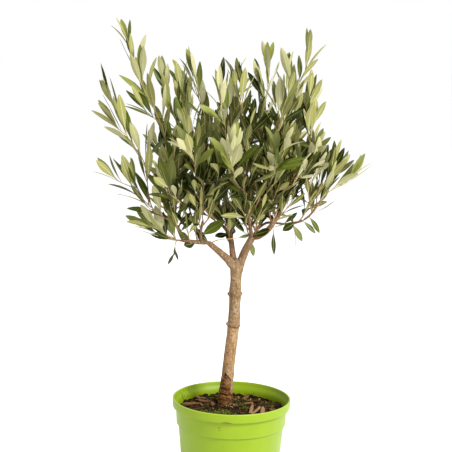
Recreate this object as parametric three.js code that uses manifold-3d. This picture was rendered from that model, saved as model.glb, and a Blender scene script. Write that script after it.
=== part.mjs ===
// A young olive tree on a bare stem, growing in a round plastic pot.
// Millimetres, +Z up. The origin is the centre of the pot's flat underside.
// The tree's front faces -Y and its right-hand bough reaches towards +X.

import * as THREE from 'three';
import { mergeVertices } from 'three/addons/utils/BufferGeometryUtils.js';
import Module from 'manifold-3d';

const wasm = await Module();
wasm.setup();

// ---------------------------------------------------------------- driving dimensions

const GAP = 0.3; // clearance kept between two solids that meet

const POT = {
  height: 175,
  rimRadius: 95, // outside of the rim band
  bandHeight: 14,
  bandTaper: 0.8,
  collarRadius: 89.3, // outside of the collar under the rim band
  collarDepth: 41, // from the rim's top edge to the collar's lower edge
  collarTaper: 1.4,
  wallRadius: 85, // outside of the wall under the collar
  baseRadius: 72,
  wall: 1.9,
  rimWall: 3,
  floor: 2.6,
  edge: 1.2, // bevel of the rim and of the foot
  step: 2, // height over which the wall steps in under band and collar
  segments: 32,
};
const DRAIN = { count: 4, circleRadius: 44, radius: 4.5, turn: Math.PI / 4, sides: 12 };

const SOIL = { edgeHeight: 153.5, mound: 8, padRadius: 15, lump: 0.9, segments: 24 };

const TRUNK = {
  foot: [-10, 9],
  bend: [[-5, 5, 235], [1, 2, 298], [2, 0, 349]], // where the stem's centre passes on its way up
  fork: [3, 0, 391],
  footRadius: 10.4,
  topRadius: 8.5,
  flare: 1.3, // root flare at ground level
  flareHeight: 16,
  forkSwell: 3.6, // thickening where the boughs part
  forkLength: 20,
  knots: [ // old nodes on the stem: height, swell, half length
    [299, 1.1, 6],
    [344, 1.3, 9],
  ],
  sides: 12,
  rings: 16,
};

// Each bough is one tapering limb: its bends, then its radius at the start and at the end.
const LIMBS = {
  right_bough_lower: [[[6, 0, 382], [9, 0, 395], [19, -4, 421], [26, -6, 436]], 7.6, 5.6],
  left_bough_lower: [[[3, 0, 385], [-6, -3, 396], [-22, -9, 411], [-42, -17, 429]], 7.4, 4.1],
  centre_bough: [[[0, 3, 388], [-4, 8, 414], [-9, 20, 442], [-13, 36, 470]], 5.6, 3.0],
  left_bough_outer: [[[-42, -17, 429], [-62, -21, 430], [-82, -26, 433]], 3.7, 2.8],
  left_riser: [[[-82, -26, 433], [-90, -29, 454], [-97, -32, 466]], 2.7, 2.2],
  inner_left_riser: [[[-54, -20, 430], [-54, -23, 446], [-51, -31, 464]], 2.5, 2.0],
  right_bough_outer: [[[26, -6, 436], [40, -4, 439], [54, -2, 452], [65, 0, 470]], 5.0, 3.9],
  right_bough_upper: [[[65, 0, 470], [73, 3, 484], [80, 6, 497]], 3.6, 2.8],
  front_riser: [[[26, -8, 436], [23, -15, 454], [20, -26, 473]], 3.4, 2.6],
  back_riser: [[[28, 0, 436], [40, 16, 456], [49, 28, 471]], 3.0, 2.3],
  crossing_riser: [[[63, -2, 470], [55, -11, 487], [46, -23, 503]], 2.4, 2.0],
  back_left_riser: [[[-9, 18, 438], [-26, 34, 455], [-43, 48, 474]], 2.6, 2.0],
  low_right_twig: [[[34, 8, 446], [46, 15, 457], [64, 17, 457], [86, 15, 456], [106, 9, 463]], 1.9, 1.7],
  low_right_twig_end: [[[106, 9, 463], [117, 6, 472], [126, 3, 487]], 1.7, 1.5],
};
const LIMB_SIDES = 8;
const LIMB_RING_SPACING = 13;

// The leafy crown. Each mass: the point where its shoots start, the point of its furthest leaf,
// its width across the tree, its depth from front to back, and how far its middle sags.
const HEARTS = {
  left_heart: [[-97, -32, 468], [-100, -8, 600], 76, 84, 4],
  inner_left_heart: [[-51, -31, 465], [-52, -46, 604], 74, 76, 2],
  centre_back_heart: [[-13, 37, 472], [-20, 46, 626], 78, 80, 0],
  front_heart: [[20, -27, 475], [8, -42, 622], 66, 78, 2],
  right_heart: [[81, 6, 499], [94, 0, 624], 76, 78, 4],
  back_right_heart: [[50, 29, 473], [54, 58, 606], 74, 74, 4],
  crossing_heart: [[45, -24, 505], [50, -32, 632], 56, 62, 0],
};
const PLUMES = {
  low_left_sprig: [[-87, -28, 431], [-161, -50, 479], 34, 26, 4],
  left_arm: [[-101, -34, 470], [-219, -45, 552], 46, 40, 0],
  left_tall_outer: [[-126, -24, 514], [-217, -15, 695], 52, 48, 3],
  left_tall_inner: [[-104, -6, 575], [-187, 5, 771], 58, 52, 3],
  left_top_slim: [[-84, 12, 586], [-126, 25, 713], 42, 42, 3],
  left_top_front: [[-64, -32, 590], [-99, -40, 704], 42, 44, 2],
  centre_left_top: [[-44, 4, 606], [-80, 0, 731], 52, 50, 2],
  centre_top_back: [[-26, 36, 612], [-27, 44, 712], 46, 50, 0],
  centre_top_front: [[6, -34, 612], [6, -42, 713], 48, 46, 0],
  right_top_inner: [[38, 4, 612], [47, 8, 743], 54, 52, 2],
  right_top_outer: [[80, 4, 612], [112, 0, 760], 62, 56, 4],
  right_side_back: [[84, 22, 581], [122, 42, 690], 44, 46, 5],
  right_side_high: [[98, -4, 574], [129, -6, 648], 48, 44, 5],
  right_side_low: [[102, 2, 524], [143, -20, 593], 46, 44, 6],
  right_arm: [[129, 2, 492], [212, -12, 553], 52, 44, -4],
  right_arm_upper: [[126, 8, 497], [165, 22, 590], 34, 34, 4],
  front_low_left: [[-84, -52, 496], [-118, -148, 566], 54, 46, 8],
  front_mid_left: [[-62, -68, 540], [-76, -160, 648], 56, 50, 10],
  front_centre: [[-4, -66, 536], [-10, -166, 620], 56, 48, 8],
  front_centre_high: [[-16, -62, 590], [-32, -126, 700], 54, 48, 6],
  front_right: [[48, -52, 546], [72, -150, 622], 56, 48, 8],
  front_right_high: [[58, -40, 600], [76, -108, 700], 52, 46, 5],
  front_low_right: [[84, -24, 530], [120, -110, 580], 46, 42, 7],
  back_low_left: [[-84, 10, 520], [-142, 106, 592], 56, 50, 8],
  back_high_left: [[-66, 30, 584], [-92, 118, 708], 56, 50, 8],
  back_centre: [[-18, 74, 540], [-24, 168, 612], 58, 50, 8],
  back_centre_high: [[-14, 72, 600], [-4, 136, 716], 54, 50, 6],
  back_right: [[58, 76, 536], [88, 160, 612], 56, 50, 8],
  back_right_high: [[66, 60, 596], [84, 122, 706], 52, 50, 6],
  back_low_right: [[92, 32, 520], [146, 104, 574], 52, 46, 7],
  hanging_left: [[-92, -27, 427], [-98, -31, 392], 20, 18, 0],
  hanging_right: [[97, 11, 452], [104, 16, 420], 58, 26, 0],
  hanging_centre: [[53, -5, 445], [58, -9, 406], 14, 12, 0],
};
const HEART_FACETS = { sides: 9, rings: 7 };
const PLUME_FACETS = { sides: 7, rings: 7 };

// ---------------------------------------------------------------- solids

/** A closed solid from rings of points that run anticlockwise about the way from first to last. */
function ringSolid(rings) {
  const positions = [];
  const faces = [];
  const sides = rings[0].length;
  for (const ring of rings) {
    for (const point of ring) positions.push(point.x, point.y, point.z);
  }
  for (let i = 0; i + 1 < rings.length; i++) {
    for (let j = 0; j < sides; j++) {
      const a = i * sides + j;
      const b = i * sides + (j + 1) % sides;
      faces.push(a, b, b + sides, a, b + sides, a + sides);
    }
  }
  const addCap = (ring, first, reversed) => {
    const middle = positions.length / 3;
    const centre = new THREE.Vector3();
    for (const point of ring) centre.addScaledVector(point, 1 / sides);
    positions.push(centre.x, centre.y, centre.z);
    for (let j = 0; j < sides; j++) {
      const a = first + j;
      const b = first + (j + 1) % sides;
      if (reversed) faces.push(middle, b, a);
      else faces.push(middle, a, b);
    }
  };
  addCap(rings[0], 0, true);
  addCap(rings[rings.length - 1], (rings.length - 1) * sides, false);
  const geometry = new THREE.BufferGeometry();
  geometry.setAttribute('position', new THREE.Float32BufferAttribute(positions, 3));
  geometry.setIndex(faces);
  return geometry;
}

/** The manifold solid of a geometry. */
function toSolid(source) {
  const bare = source.clone();
  bare.deleteAttribute('normal');
  bare.deleteAttribute('uv');
  const merged = mergeVertices(bare);
  return new wasm.Manifold(new wasm.Mesh({
    numProp: 3,
    vertProperties: new Float32Array(merged.attributes.position.array),
    triVerts: new Uint32Array(merged.index.array),
  }));
}

/** The geometry of a manifold solid. */
function toGeometry(solid) {
  const mesh = solid.getMesh();
  const geometry = new THREE.BufferGeometry();
  geometry.setAttribute('position', new THREE.BufferAttribute(mesh.vertProperties, 3));
  geometry.setIndex(new THREE.BufferAttribute(mesh.triVerts, 1));
  return geometry;
}

/** The largest piece of a solid that a cut may have parted. */
function largestPiece(solid) {
  return solid.decompose().reduce((best, piece) => (piece.volume() > best.volume() ? piece : best));
}

/** Sweeps a section along a curve. reach(t, angle) gives the section's half width and half depth. */
function sweep(curve, { sides, rings, reach, grow = 0, levelStart = false }) {
  const first = curve.getPointAt(0);
  const last = curve.getPointAt(1);
  const along = new THREE.Vector3().subVectors(last, first).normalize();
  const reference = Math.abs(along.y) < 0.9 ? new THREE.Vector3(0, 1, 0) : new THREE.Vector3(0, 0, 1);
  const list = [];
  for (let i = 0; i < rings; i++) {
    const t = i / (rings - 1);
    const centre = curve.getPointAt(t);
    const tangent = levelStart && i === 0 ? new THREE.Vector3(0, 0, 1) : curve.getTangentAt(t);
    const across = new THREE.Vector3().crossVectors(reference, tangent).normalize();
    const deep = new THREE.Vector3().crossVectors(tangent, across);
    if (i === 0) centre.addScaledVector(tangent, -grow);
    if (i === rings - 1) centre.addScaledVector(tangent, grow);
    const ring = [];
    for (let j = 0; j < sides; j++) {
      const angle = 2 * Math.PI * j / sides;
      const [halfWidth, halfDepth] = reach(t, angle);
      ring.push(centre.clone()
        .addScaledVector(across, (halfWidth + grow) * Math.cos(angle))
        .addScaledVector(deep, (halfDepth + grow) * Math.sin(angle)));
    }
    list.push(ring);
  }
  return ringSolid(list);
}

const vector = (point) => new THREE.Vector3(...point);
const bell = (distance, halfLength) => Math.exp(-((distance / halfLength) ** 2));

// ---------------------------------------------------------------- pot and soil

/** Inside radius of the pot at a height. */
function potInside(z) {
  const below = POT.height - z;
  if (below < POT.bandHeight) return POT.rimRadius - POT.rimWall;
  if (below < POT.collarDepth) {
    return POT.collarRadius - POT.wall - POT.collarTaper * (below - POT.bandHeight)
      / (POT.collarDepth - POT.bandHeight);
  }
  return POT.wallRadius - POT.wall - (POT.wallRadius - POT.baseRadius) * (below - POT.collarDepth)
    / (POT.height - POT.collarDepth);
}

function makePot() {
  const { height, bandHeight, collarDepth, step, edge, wall, floor } = POT;
  const bandFoot = height - bandHeight;
  const collarFoot = height - collarDepth;
  const collarLow = POT.collarRadius - POT.collarTaper;
  const outside = [
    [0, 0],
    [POT.baseRadius - edge, 0],
    [POT.baseRadius, edge],
    [POT.wallRadius, collarFoot - step],
    [collarLow, collarFoot],
    [POT.collarRadius, bandFoot],
    [POT.rimRadius - POT.bandTaper, bandFoot],
    [POT.rimRadius, height - edge],
    [POT.rimRadius - edge, height],
  ];
  const inside = [
    [potInside(height), height],
    [potInside(height), bandFoot + step],
    [POT.collarRadius - wall, bandFoot - step],
    [collarLow - wall, collarFoot + step],
    [POT.wallRadius - wall, collarFoot - 2 * step],
    [POT.baseRadius - wall, floor],
    [0, floor],
  ];
  const profile = [...outside, ...inside].map(([radius, z]) => new THREE.Vector2(radius, z));
  const lathe = new THREE.LatheGeometry(profile, POT.segments);
  lathe.rotateX(Math.PI / 2);
  let pot = toSolid(lathe);
  const drill = new THREE.CylinderGeometry(DRAIN.radius, DRAIN.radius, 4 * floor, DRAIN.sides);
  drill.rotateX(Math.PI / 2);
  for (let i = 0; i < DRAIN.count; i++) {
    const angle = DRAIN.turn + 2 * Math.PI * i / DRAIN.count;
    const hole = drill.clone();
    hole.translate(DRAIN.circleRadius * Math.cos(angle), DRAIN.circleRadius * Math.sin(angle), 0);
    pot = pot.subtract(toSolid(hole));
  }
  return toGeometry(pot);
}

/** Soil fills the pot to below its collar's top and mounds up to a level pad under the stem. */
function makeSoil() {
  const collarFoot = POT.height - POT.collarDepth;
  const rings = [];
  const addRing = (radius, z, slide = 0, lump = 0) => {
    const ring = [];
    for (let j = 0; j < SOIL.segments; j++) {
      const angle = 2 * Math.PI * j / SOIL.segments;
      const rise = lump * Math.sin(3 * angle + radius) * Math.cos(2 * angle - radius / 9);
      ring.push(new THREE.Vector3(
        TRUNK.foot[0] * slide + radius * Math.cos(angle),
        TRUNK.foot[1] * slide + radius * Math.sin(angle),
        z + rise,
      ));
    }
    rings.push(ring);
  };
  const floorTop = POT.floor + GAP;
  addRing(potInside(floorTop) - 2 * GAP, floorTop);
  addRing(POT.wallRadius - POT.wall - 3 * GAP, collarFoot - 3 * POT.step);
  addRing(potInside(collarFoot + POT.step) - 4 * GAP, collarFoot + 2 * POT.step);
  const edgeRadius = potInside(SOIL.edgeHeight) - 3 * GAP;
  addRing(edgeRadius, SOIL.edgeHeight);
  const steps = 5;
  for (let i = 1; i <= steps; i++) {
    const share = i / steps;
    const radius = edgeRadius + (SOIL.padRadius - edgeRadius) * share;
    const rise = SOIL.mound * (share * share * (3 - 2 * share));
    addRing(radius, SOIL.edgeHeight + rise, share, i < steps ? SOIL.lump : 0);
  }
  return ringSolid(rings);
}

// ---------------------------------------------------------------- stem and boughs

function trunkGeometry(grow = 0) {
  const ground = SOIL.edgeHeight + SOIL.mound + GAP;
  const curve = new THREE.CatmullRomCurve3([
    vector([...TRUNK.foot, ground]), ...TRUNK.bend.map(vector), vector(TRUNK.fork)]);
  const reach = (t, angle) => {
    const { z } = curve.getPointAt(t);
    const up = z - ground;
    const flare = TRUNK.flare * Math.exp(-up / TRUNK.flareHeight) * (1 + 0.5 * Math.sin(3 * angle + 1));
    const fork = TRUNK.forkSwell * Math.max(0, 1 - (TRUNK.fork[2] - z) / TRUNK.forkLength) ** 2;
    let radius = TRUNK.footRadius + (TRUNK.topRadius - TRUNK.footRadius) * t + flare;
    for (const [height, swell, halfLength] of TRUNK.knots) radius += swell * bell(z - height, halfLength);
    return [radius + fork, radius + 0.4 * fork];
  };
  return sweep(curve, { sides: TRUNK.sides, rings: TRUNK.rings, reach, grow, levelStart: true });
}

function limbGeometry([points, startRadius, endRadius], grow = 0) {
  const curve = new THREE.CatmullRomCurve3(points.map(vector));
  const rings = 2 + Math.round(curve.getLength() / LIMB_RING_SPACING);
  const reach = (t) => {
    const radius = startRadius + (endRadius - startRadius) * t;
    return [radius, radius];
  };
  return sweep(curve, { sides: LIMB_SIDES, rings, reach, grow });
}

// ---------------------------------------------------------------- leafy masses

/** How full a mass is along its length: narrow at its foot, fullest below the middle, pointed. */
function fullness(t) {
  return (0.36 + 0.64 * Math.sin(Math.PI * t ** 0.75)) * (1 - 0.72 * t ** 5);
}

function massGeometry([foot, tip, width, depth, sag], facets, seed, grow = 0) {
  const start = vector(foot);
  const end = vector(tip);
  const along = new THREE.Vector3().subVectors(end, start).normalize();
  const down = new THREE.Vector3(0, 0, -1);
  down.addScaledVector(along, -down.dot(along)).normalize();
  const middle = new THREE.Vector3().lerpVectors(start, end, 0.5).addScaledVector(down, sag);
  const curve = new THREE.QuadraticBezierCurve3(start, middle.addScaledVector(down, sag), end);
  const reach = (t, angle) => {
    const lump = 1 + 0.13 * Math.sin(2 * angle + 5 * t + seed) + 0.09 * Math.sin(3 * angle - 9 * t + 2.3 * seed);
    return [width, depth].map((size) => size / 2 * fullness(t) * lump);
  };
  return sweep(curve, { ...facets, reach, grow });
}

// ---------------------------------------------------------------- assembly

const LOOKS = {
  pot: { color: 0xb4d23d, roughness: 0.42 },
  soil: { color: 0x3b2a1a, roughness: 0.95 },
  bark: { color: 0xa58460, roughness: 0.8 },
  leaf: { color: 0x8c995c, roughness: 0.6 },
};

const tree = new THREE.Group();

function addPart(name, geometry, look) {
  geometry.computeVertexNormals();
  const material = new THREE.MeshStandardMaterial({ ...LOOKS[look], metalness: 0 });
  const mesh = new THREE.Mesh(geometry, material);
  mesh.name = name;
  tree.add(mesh);
}

addPart('pot', makePot(), 'pot');
addPart('soil', makeSoil(), 'soil');
addPart('trunk', trunkGeometry(), 'bark');

// Every later solid is cut clear of the ones before it, each grown by the gap they keep.
const clearances = [];

function addClearance(geometry) {
  geometry.computeBoundingBox();
  clearances.push({ box: geometry.boundingBox, solid: toSolid(geometry) });
}

function addCutClear(name, shape, look) {
  const plain = shape(0);
  plain.computeBoundingBox();
  let solid = toSolid(plain);
  for (const { box, solid: other } of clearances) {
    if (box.intersectsBox(plain.boundingBox)) solid = solid.subtract(other);
  }
  addPart(name, toGeometry(largestPiece(solid)), look);
  addClearance(shape(GAP));
}

addClearance(trunkGeometry(GAP));
for (const [name, limb] of Object.entries(LIMBS)) {
  addCutClear(name, (grow) => limbGeometry(limb, grow), 'bark');
}
Object.entries(HEARTS).forEach(([name, mass], i) => {
  addCutClear(name, (grow) => massGeometry(mass, HEART_FACETS, i, grow), 'leaf');
});
Object.entries(PLUMES).forEach(([name, mass], i) => {
  addCutClear(name, (grow) => massGeometry(mass, PLUME_FACETS, 10 + i, grow), 'leaf');
});

export default tree;
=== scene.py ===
"""A young olive tree on a bare stem in a lime-green plastic pot.

Its bark, shoots, leaves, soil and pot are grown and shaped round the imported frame. Lengths are in metres.
"""

import math
import random

import bmesh
import bpy
import numpy as np
from mathutils import Matrix, Vector, noise
from mathutils.bvhtree import BVHTree
from mathutils.kdtree import KDTree


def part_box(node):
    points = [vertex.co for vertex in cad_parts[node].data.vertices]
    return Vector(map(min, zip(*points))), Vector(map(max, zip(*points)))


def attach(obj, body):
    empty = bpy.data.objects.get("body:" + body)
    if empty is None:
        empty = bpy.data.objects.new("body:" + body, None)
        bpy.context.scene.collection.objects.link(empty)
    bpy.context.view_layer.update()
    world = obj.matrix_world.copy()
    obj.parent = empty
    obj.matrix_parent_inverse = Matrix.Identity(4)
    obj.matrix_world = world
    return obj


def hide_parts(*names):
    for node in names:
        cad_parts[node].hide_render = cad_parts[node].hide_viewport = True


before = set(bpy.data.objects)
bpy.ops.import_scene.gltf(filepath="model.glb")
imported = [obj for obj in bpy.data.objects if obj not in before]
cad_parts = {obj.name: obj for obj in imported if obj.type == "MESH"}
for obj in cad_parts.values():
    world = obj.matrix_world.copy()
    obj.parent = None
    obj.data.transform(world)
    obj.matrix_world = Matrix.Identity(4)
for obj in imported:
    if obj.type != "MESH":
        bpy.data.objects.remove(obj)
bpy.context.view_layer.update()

MM = 0.001
UP = Vector((0, 0, 1))

# The woody limbs, each after the one that it grows from, and the masses of leaves: a heart is
# carried by a limb's end, and the sprays reach out from the hearts.
LIMBS = [
    "trunk",
    "right_bough_lower",
    "left_bough_lower",
    "centre_bough",
    "left_bough_outer",
    "left_riser",
    "inner_left_riser",
    "right_bough_outer",
    "right_bough_upper",
    "front_riser",
    "back_riser",
    "crossing_riser",
    "back_left_riser",
    "low_right_twig",
    "low_right_twig_end",
]
HEARTS = [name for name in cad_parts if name.endswith("_heart")]
SPRAYS = [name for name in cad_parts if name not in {*LIMBS, *HEARTS, "pot", "soil"}]

pot_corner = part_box("pot")[1]
RIM_HEIGHT = pot_corner.z
RIM_RADIUS = pot_corner.x
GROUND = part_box("soil")[1].z


# ---------------------------------------------------------------- finishes


class Term:
    """A shader socket that can stand in arithmetic. Each operator adds one Math node."""

    def __init__(self, finish, socket):
        self.finish = finish
        self.socket = socket

    def _math(self, operation, *values, clamp=False):
        settings = {"operation": operation, "use_clamp": clamp}
        return self.finish.node("ShaderNodeMath", settings, dict(enumerate(values)))

    def __add__(self, other):
        return self._math("ADD", self, other)

    def __radd__(self, other):
        return self._math("ADD", other, self)

    def __sub__(self, other):
        return self._math("SUBTRACT", self, other)

    def __rsub__(self, other):
        return self._math("SUBTRACT", other, self)

    def __mul__(self, other):
        return self._math("MULTIPLY", self, other)

    def __rmul__(self, other):
        return self._math("MULTIPLY", other, self)

    def clamped(self):
        return self._math("ADD", self, 0.0, clamp=True)


class Finish:
    """One material, and the nodes that make its colour and relief."""

    def __init__(self, name, **constants):
        self.material = bpy.data.materials.new(name)
        self.material.use_nodes = True
        self.tree = self.material.node_tree
        self.shader = self.tree.nodes["Principled BSDF"]
        for socket, value in constants.items():
            self.set(socket.replace("_", " "), value)

    def set(self, socket, value):
        self._feed(value, self.shader.inputs[socket])

    def _feed(self, value, socket):
        if isinstance(value, Term):
            self.tree.links.new(value.socket, socket)
        elif isinstance(value, tuple) and len(value) == 3 and socket.type == "RGBA":
            socket.default_value = (*value, 1)
        else:
            socket.default_value = value

    def node(self, kind, settings=None, inputs=None, output=0):
        made = self.tree.nodes.new(kind)
        for key, value in (settings or {}).items():
            if key == "stops":
                ramp = made.color_ramp
                while len(ramp.elements) < len(value):
                    ramp.elements.new(0.5)
                for element, (place, colour) in zip(ramp.elements, value):
                    element.position = place
                    element.color = (*colour, 1)
            else:
                setattr(made, key, value)
        for key, value in (inputs or {}).items():
            self._feed(value, made.inputs[key])
        return Term(self, made.outputs[output])

    def place(self, stretch=(1, 1, 1)):
        """Object coordinates, stretched by a factor along each axis."""
        spot = self.node("ShaderNodeTexCoord", output="Object")
        return self.node("ShaderNodeMapping", None, {"Vector": spot, "Scale": stretch})

    def noise(self, size, detail=3.0, stretch=(1, 1, 1), rough=0.55):
        """Soft noise from 0 to 1 whose lumps are about size metres across."""
        inputs = {"Vector": self.place(stretch), "Scale": 1 / size, "Detail": detail, "Roughness": rough}
        return self.node("ShaderNodeTexNoise", None, inputs)

    def ramp(self, value, *stops):
        return self.node("ShaderNodeValToRGB", {"stops": stops}, {"Fac": value})

    def step(self, value, low, high):
        """0 below low and 1 above high, with a smooth way between."""
        inputs = {"Value": value, "From Min": low, "From Max": high}
        return self.node("ShaderNodeMapRange", {"interpolation_type": "SMOOTHSTEP"}, inputs)

    def mix(self, share, first, second):
        inputs = {0: share, 6: first, 7: second}
        return self.node("ShaderNodeMix", {"data_type": "RGBA"}, inputs, output=2)

    def attribute(self, name):
        return self.node("ShaderNodeAttribute", {"attribute_name": name}, output="Fac")

    def height(self, axis="Z"):
        spot = self.node("ShaderNodeTexCoord", output="Object")
        return self.node("ShaderNodeSeparateXYZ", None, {0: spot}, output=axis)

    def near(self, spot, size):
        """1 at a spot, falling to 0 at a distance of size along each axis."""
        place = self.node("ShaderNodeTexCoord", output="Object")
        away = self.node("ShaderNodeVectorMath", {"operation": "SUBTRACT"}, {0: place, 1: spot})
        scaled = self.node(
            "ShaderNodeVectorMath", {"operation": "MULTIPLY"}, {0: away, 1: tuple(1 / s for s in size)}
        )
        distance = self.node("ShaderNodeVectorMath", {"operation": "LENGTH"}, {0: scaled}, output="Value")
        return (1 - distance).clamped()

    def relief(self, height, depth, strength=1.0):
        inputs = {"Height": height, "Distance": depth, "Strength": strength}
        self.set("Normal", self.node("ShaderNodeBump", None, inputs))


def lime_plastic():
    finish = Finish("lime_plastic", Specular_IOR_Level=0.22)
    cloudy = finish.noise(45 * MM, 2)
    body = finish.ramp(cloudy, (0.3, (0.166, 0.246, 0.0028)), (0.7, (0.185, 0.270, 0.0045)))
    # Damp soil has splashed the wall above the fill, and dust lies in the lower wall's pores.
    splash = finish.noise(5 * MM, 4, (1, 1, 0.5))
    low_in = finish.step(finish.height(), RIM_HEIGHT - 12 * MM, RIM_HEIGHT - 24 * MM)
    soiled = low_in * finish.attribute("inside") * finish.step(splash, 0.50, 0.64)
    colour = finish.mix(soiled * 0.75, body, (0.055, 0.040, 0.012))
    # Painted shade in a thin line under each of the wall's two steps, on the outside.
    outside = 1 - finish.attribute("inside")
    for below in (14.9, 42.0):
        line = finish.node("ShaderNodeMath", {"operation": "ABSOLUTE"},
                           {0: finish.height() - (RIM_HEIGHT - below * MM)})
        step_shade = finish.step(line, 1.3 * MM, 0.1 * MM) * outside
        colour = finish.mix(step_shade * 0.6, colour, (0.075, 0.112, 0.003))
    # Painted highlight: the rim's top edge is painted paler.
    edge = finish.step(finish.height(), RIM_HEIGHT - 1.5 * MM, RIM_HEIGHT - 0.2 * MM)
    colour = finish.mix(edge * 0.4, colour, (0.320, 0.410, 0.070))
    # A few small brown smears left by handling, on the band and on the collar.
    smears = [
        ((-10.5, -94, -12.6), (10, 8, 2.2)),
        ((-3.5, -94, -13.4), (8, 8, 1.7)),
        ((-18.5, -88, -23.2), (4.2, 8, 1.9)),
        ((-18.0, -88, -27.5), (3.0, 8, 1.7)),
        ((-12.5, -83, -54.0), (1.6, 5, 1.3)),
        ((-41.0, -76, -62.0), (1.5, 5, 1.8)),
        ((58.0, 66, -70.0), (4.0, 6, 2.0)),
        ((-75.0, 50, -22.0), (5.0, 6, 1.6)),
    ]
    marks = 0.0
    ragged = finish.noise(2.2 * MM, 3)
    for (x, y, below), size in smears:
        spot = (x * MM, y * MM, RIM_HEIGHT + below * MM)
        marks = marks + finish.near(spot, tuple(s * MM for s in size))
    marked = finish.step(marks + (ragged - 0.5) * 0.8, 0.30, 0.75)
    colour = finish.mix(marked * 0.85, colour, (0.095, 0.070, 0.008))
    # Dark rubbed strokes on the inside of the rim's left wall.
    strokes = finish.noise(3.6 * MM, 2, (1, 1, 0.14))
    rubbed = finish.near((-78 * MM, 46 * MM, RIM_HEIGHT - 9 * MM), (17 * MM, 26 * MM, 12 * MM))
    rubbed = finish.step(rubbed, 0.0, 0.5)
    colour = finish.mix(finish.step(strokes, 0.50, 0.60) * rubbed * 0.75, colour, (0.060, 0.080, 0.008))
    finish.set("Base Color", colour)
    grain = finish.noise(1.4 * MM, 2)
    finish.set("Roughness", 0.36 + cloudy * 0.12 + marked * 0.2)
    finish.relief(grain, 0.05 * MM, 0.5)
    return finish.material


def olive_bark():
    finish = Finish("olive_bark", Specular_IOR_Level=0.12)
    patches = finish.noise(13 * MM, 5, (1, 1, 0.5))
    base = finish.ramp(
        patches,
        (0.32, (0.100, 0.056, 0.024)),
        (0.44, (0.165, 0.099, 0.046)),
        (0.56, (0.212, 0.140, 0.075)),
        (0.68, (0.245, 0.188, 0.124)),
    )
    warm_tone = finish.ramp(
        finish.noise(9 * MM, 4, (1, 1, 0.4)),
        (0.36, (0.235, 0.120, 0.048)),
        (0.50, (0.320, 0.188, 0.086)),
        (0.66, (0.400, 0.262, 0.142)),
    )
    base = finish.mix(finish.attribute("warm") * 0.9, base, warm_tone)
    # The limbs above the fork and the thin limbs are a darker brown, partly their own colour and partly
    # painted shade.
    base = finish.mix(finish.attribute("limb"), base, (0.105, 0.056, 0.026))
    streaks = finish.noise(3.2 * MM, 4, (1, 1, 0.16), 0.65)
    base = finish.mix(finish.step(streaks, 0.47, 0.72) * 0.6, base, (0.130, 0.066, 0.026))
    flecks = finish.noise(2.6 * MM, 4, (1, 1, 0.75), 0.72)
    base = finish.mix(finish.step(flecks, 0.54, 0.64) * 0.6, base, (0.390, 0.300, 0.200))
    base = finish.mix(finish.step(flecks, 0.46, 0.36) * 0.72, base, (0.080, 0.038, 0.015))
    foot_tone = finish.ramp(
        finish.noise(4.4 * MM, 5, (1, 1, 2.0), 0.65),
        (0.36, (0.009, 0.003, 0.0005)),
        (0.47, (0.062, 0.021, 0.003)),
        (0.58, (0.172, 0.066, 0.010)),
        (0.72, (0.300, 0.160, 0.054)),
    )
    base = finish.mix(finish.attribute("foot") * 0.92, base, foot_tone)
    # Dark corky pores, and painted shade in the grooves low on the stem, in the crease under the ring and in
    # the sunken edge and point of the graft's scar.
    base = finish.mix(finish.attribute("dark") * 0.9, base, (0.030, 0.012, 0.004))
    finish.set("Base Color", base)
    finish.set("Roughness", 0.7 + patches * 0.25)
    finish.relief(streaks * 0.6 + flecks * 0.6, 1.0 * MM, 0.85)
    return finish.material


def potting_soil():
    finish = Finish("potting_soil", Specular_IOR_Level=0.05)
    clods = finish.noise(3.6 * MM, 5)
    colour = finish.ramp(
        clods,
        (0.32, (0.005, 0.003, 0.0015)),
        (0.50, (0.017, 0.010, 0.004)),
        (0.64, (0.045, 0.026, 0.010)),
        (0.78, (0.105, 0.066, 0.028)),
    )
    green = finish.noise(17 * MM, 3) - 0.02
    colour = finish.mix(finish.step(green, 0.54, 0.66) * 0.6, colour, (0.050, 0.062, 0.008))
    finish.set("Base Color", colour)
    finish.set("Roughness", 0.85 + clods * 0.12)
    finish.relief(finish.noise(1.1 * MM, 4), 1.2 * MM, 0.9)
    return finish.material


def plain(name, colour, roughness, **constants):
    """A finish of one even tone, for the small things that are dealt out by the hundred."""
    return Finish(name, Base_Color=colour, Roughness=roughness, **constants).material


# ---------------------------------------------------------------- shapes and objects


def object_of(name, data):
    """A new object in the scene for a mesh, a light or a camera."""
    made = bpy.data.objects.new(name, data)
    bpy.context.collection.objects.link(made)
    return made


def object_from(name, shape):
    """A new object from a bmesh, which is used up."""
    mesh = bpy.data.meshes.new(name)
    shape.to_mesh(mesh)
    shape.free()
    return object_of(name, mesh)


def settle_modifiers(piece):
    """Makes what a piece's modifiers show its own mesh."""
    evaluated = piece.evaluated_get(bpy.context.evaluated_depsgraph_get())
    settled = bpy.data.meshes.new_from_object(evaluated)
    piece.modifiers.clear()
    piece.data = settled


def smooth_over(mesh):
    mesh.polygons.foreach_set("use_smooth", [True] * len(mesh.polygons))


# ---------------------------------------------------------------- reading the frame


def node_mesh(name):
    """A frame node's corner points and triangles."""
    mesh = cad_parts[name].data
    points = np.empty(len(mesh.vertices) * 3)
    mesh.vertices.foreach_get("co", points)
    faces = [tuple(polygon.vertices) for polygon in mesh.polygons]
    return points.reshape(-1, 3), faces


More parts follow.
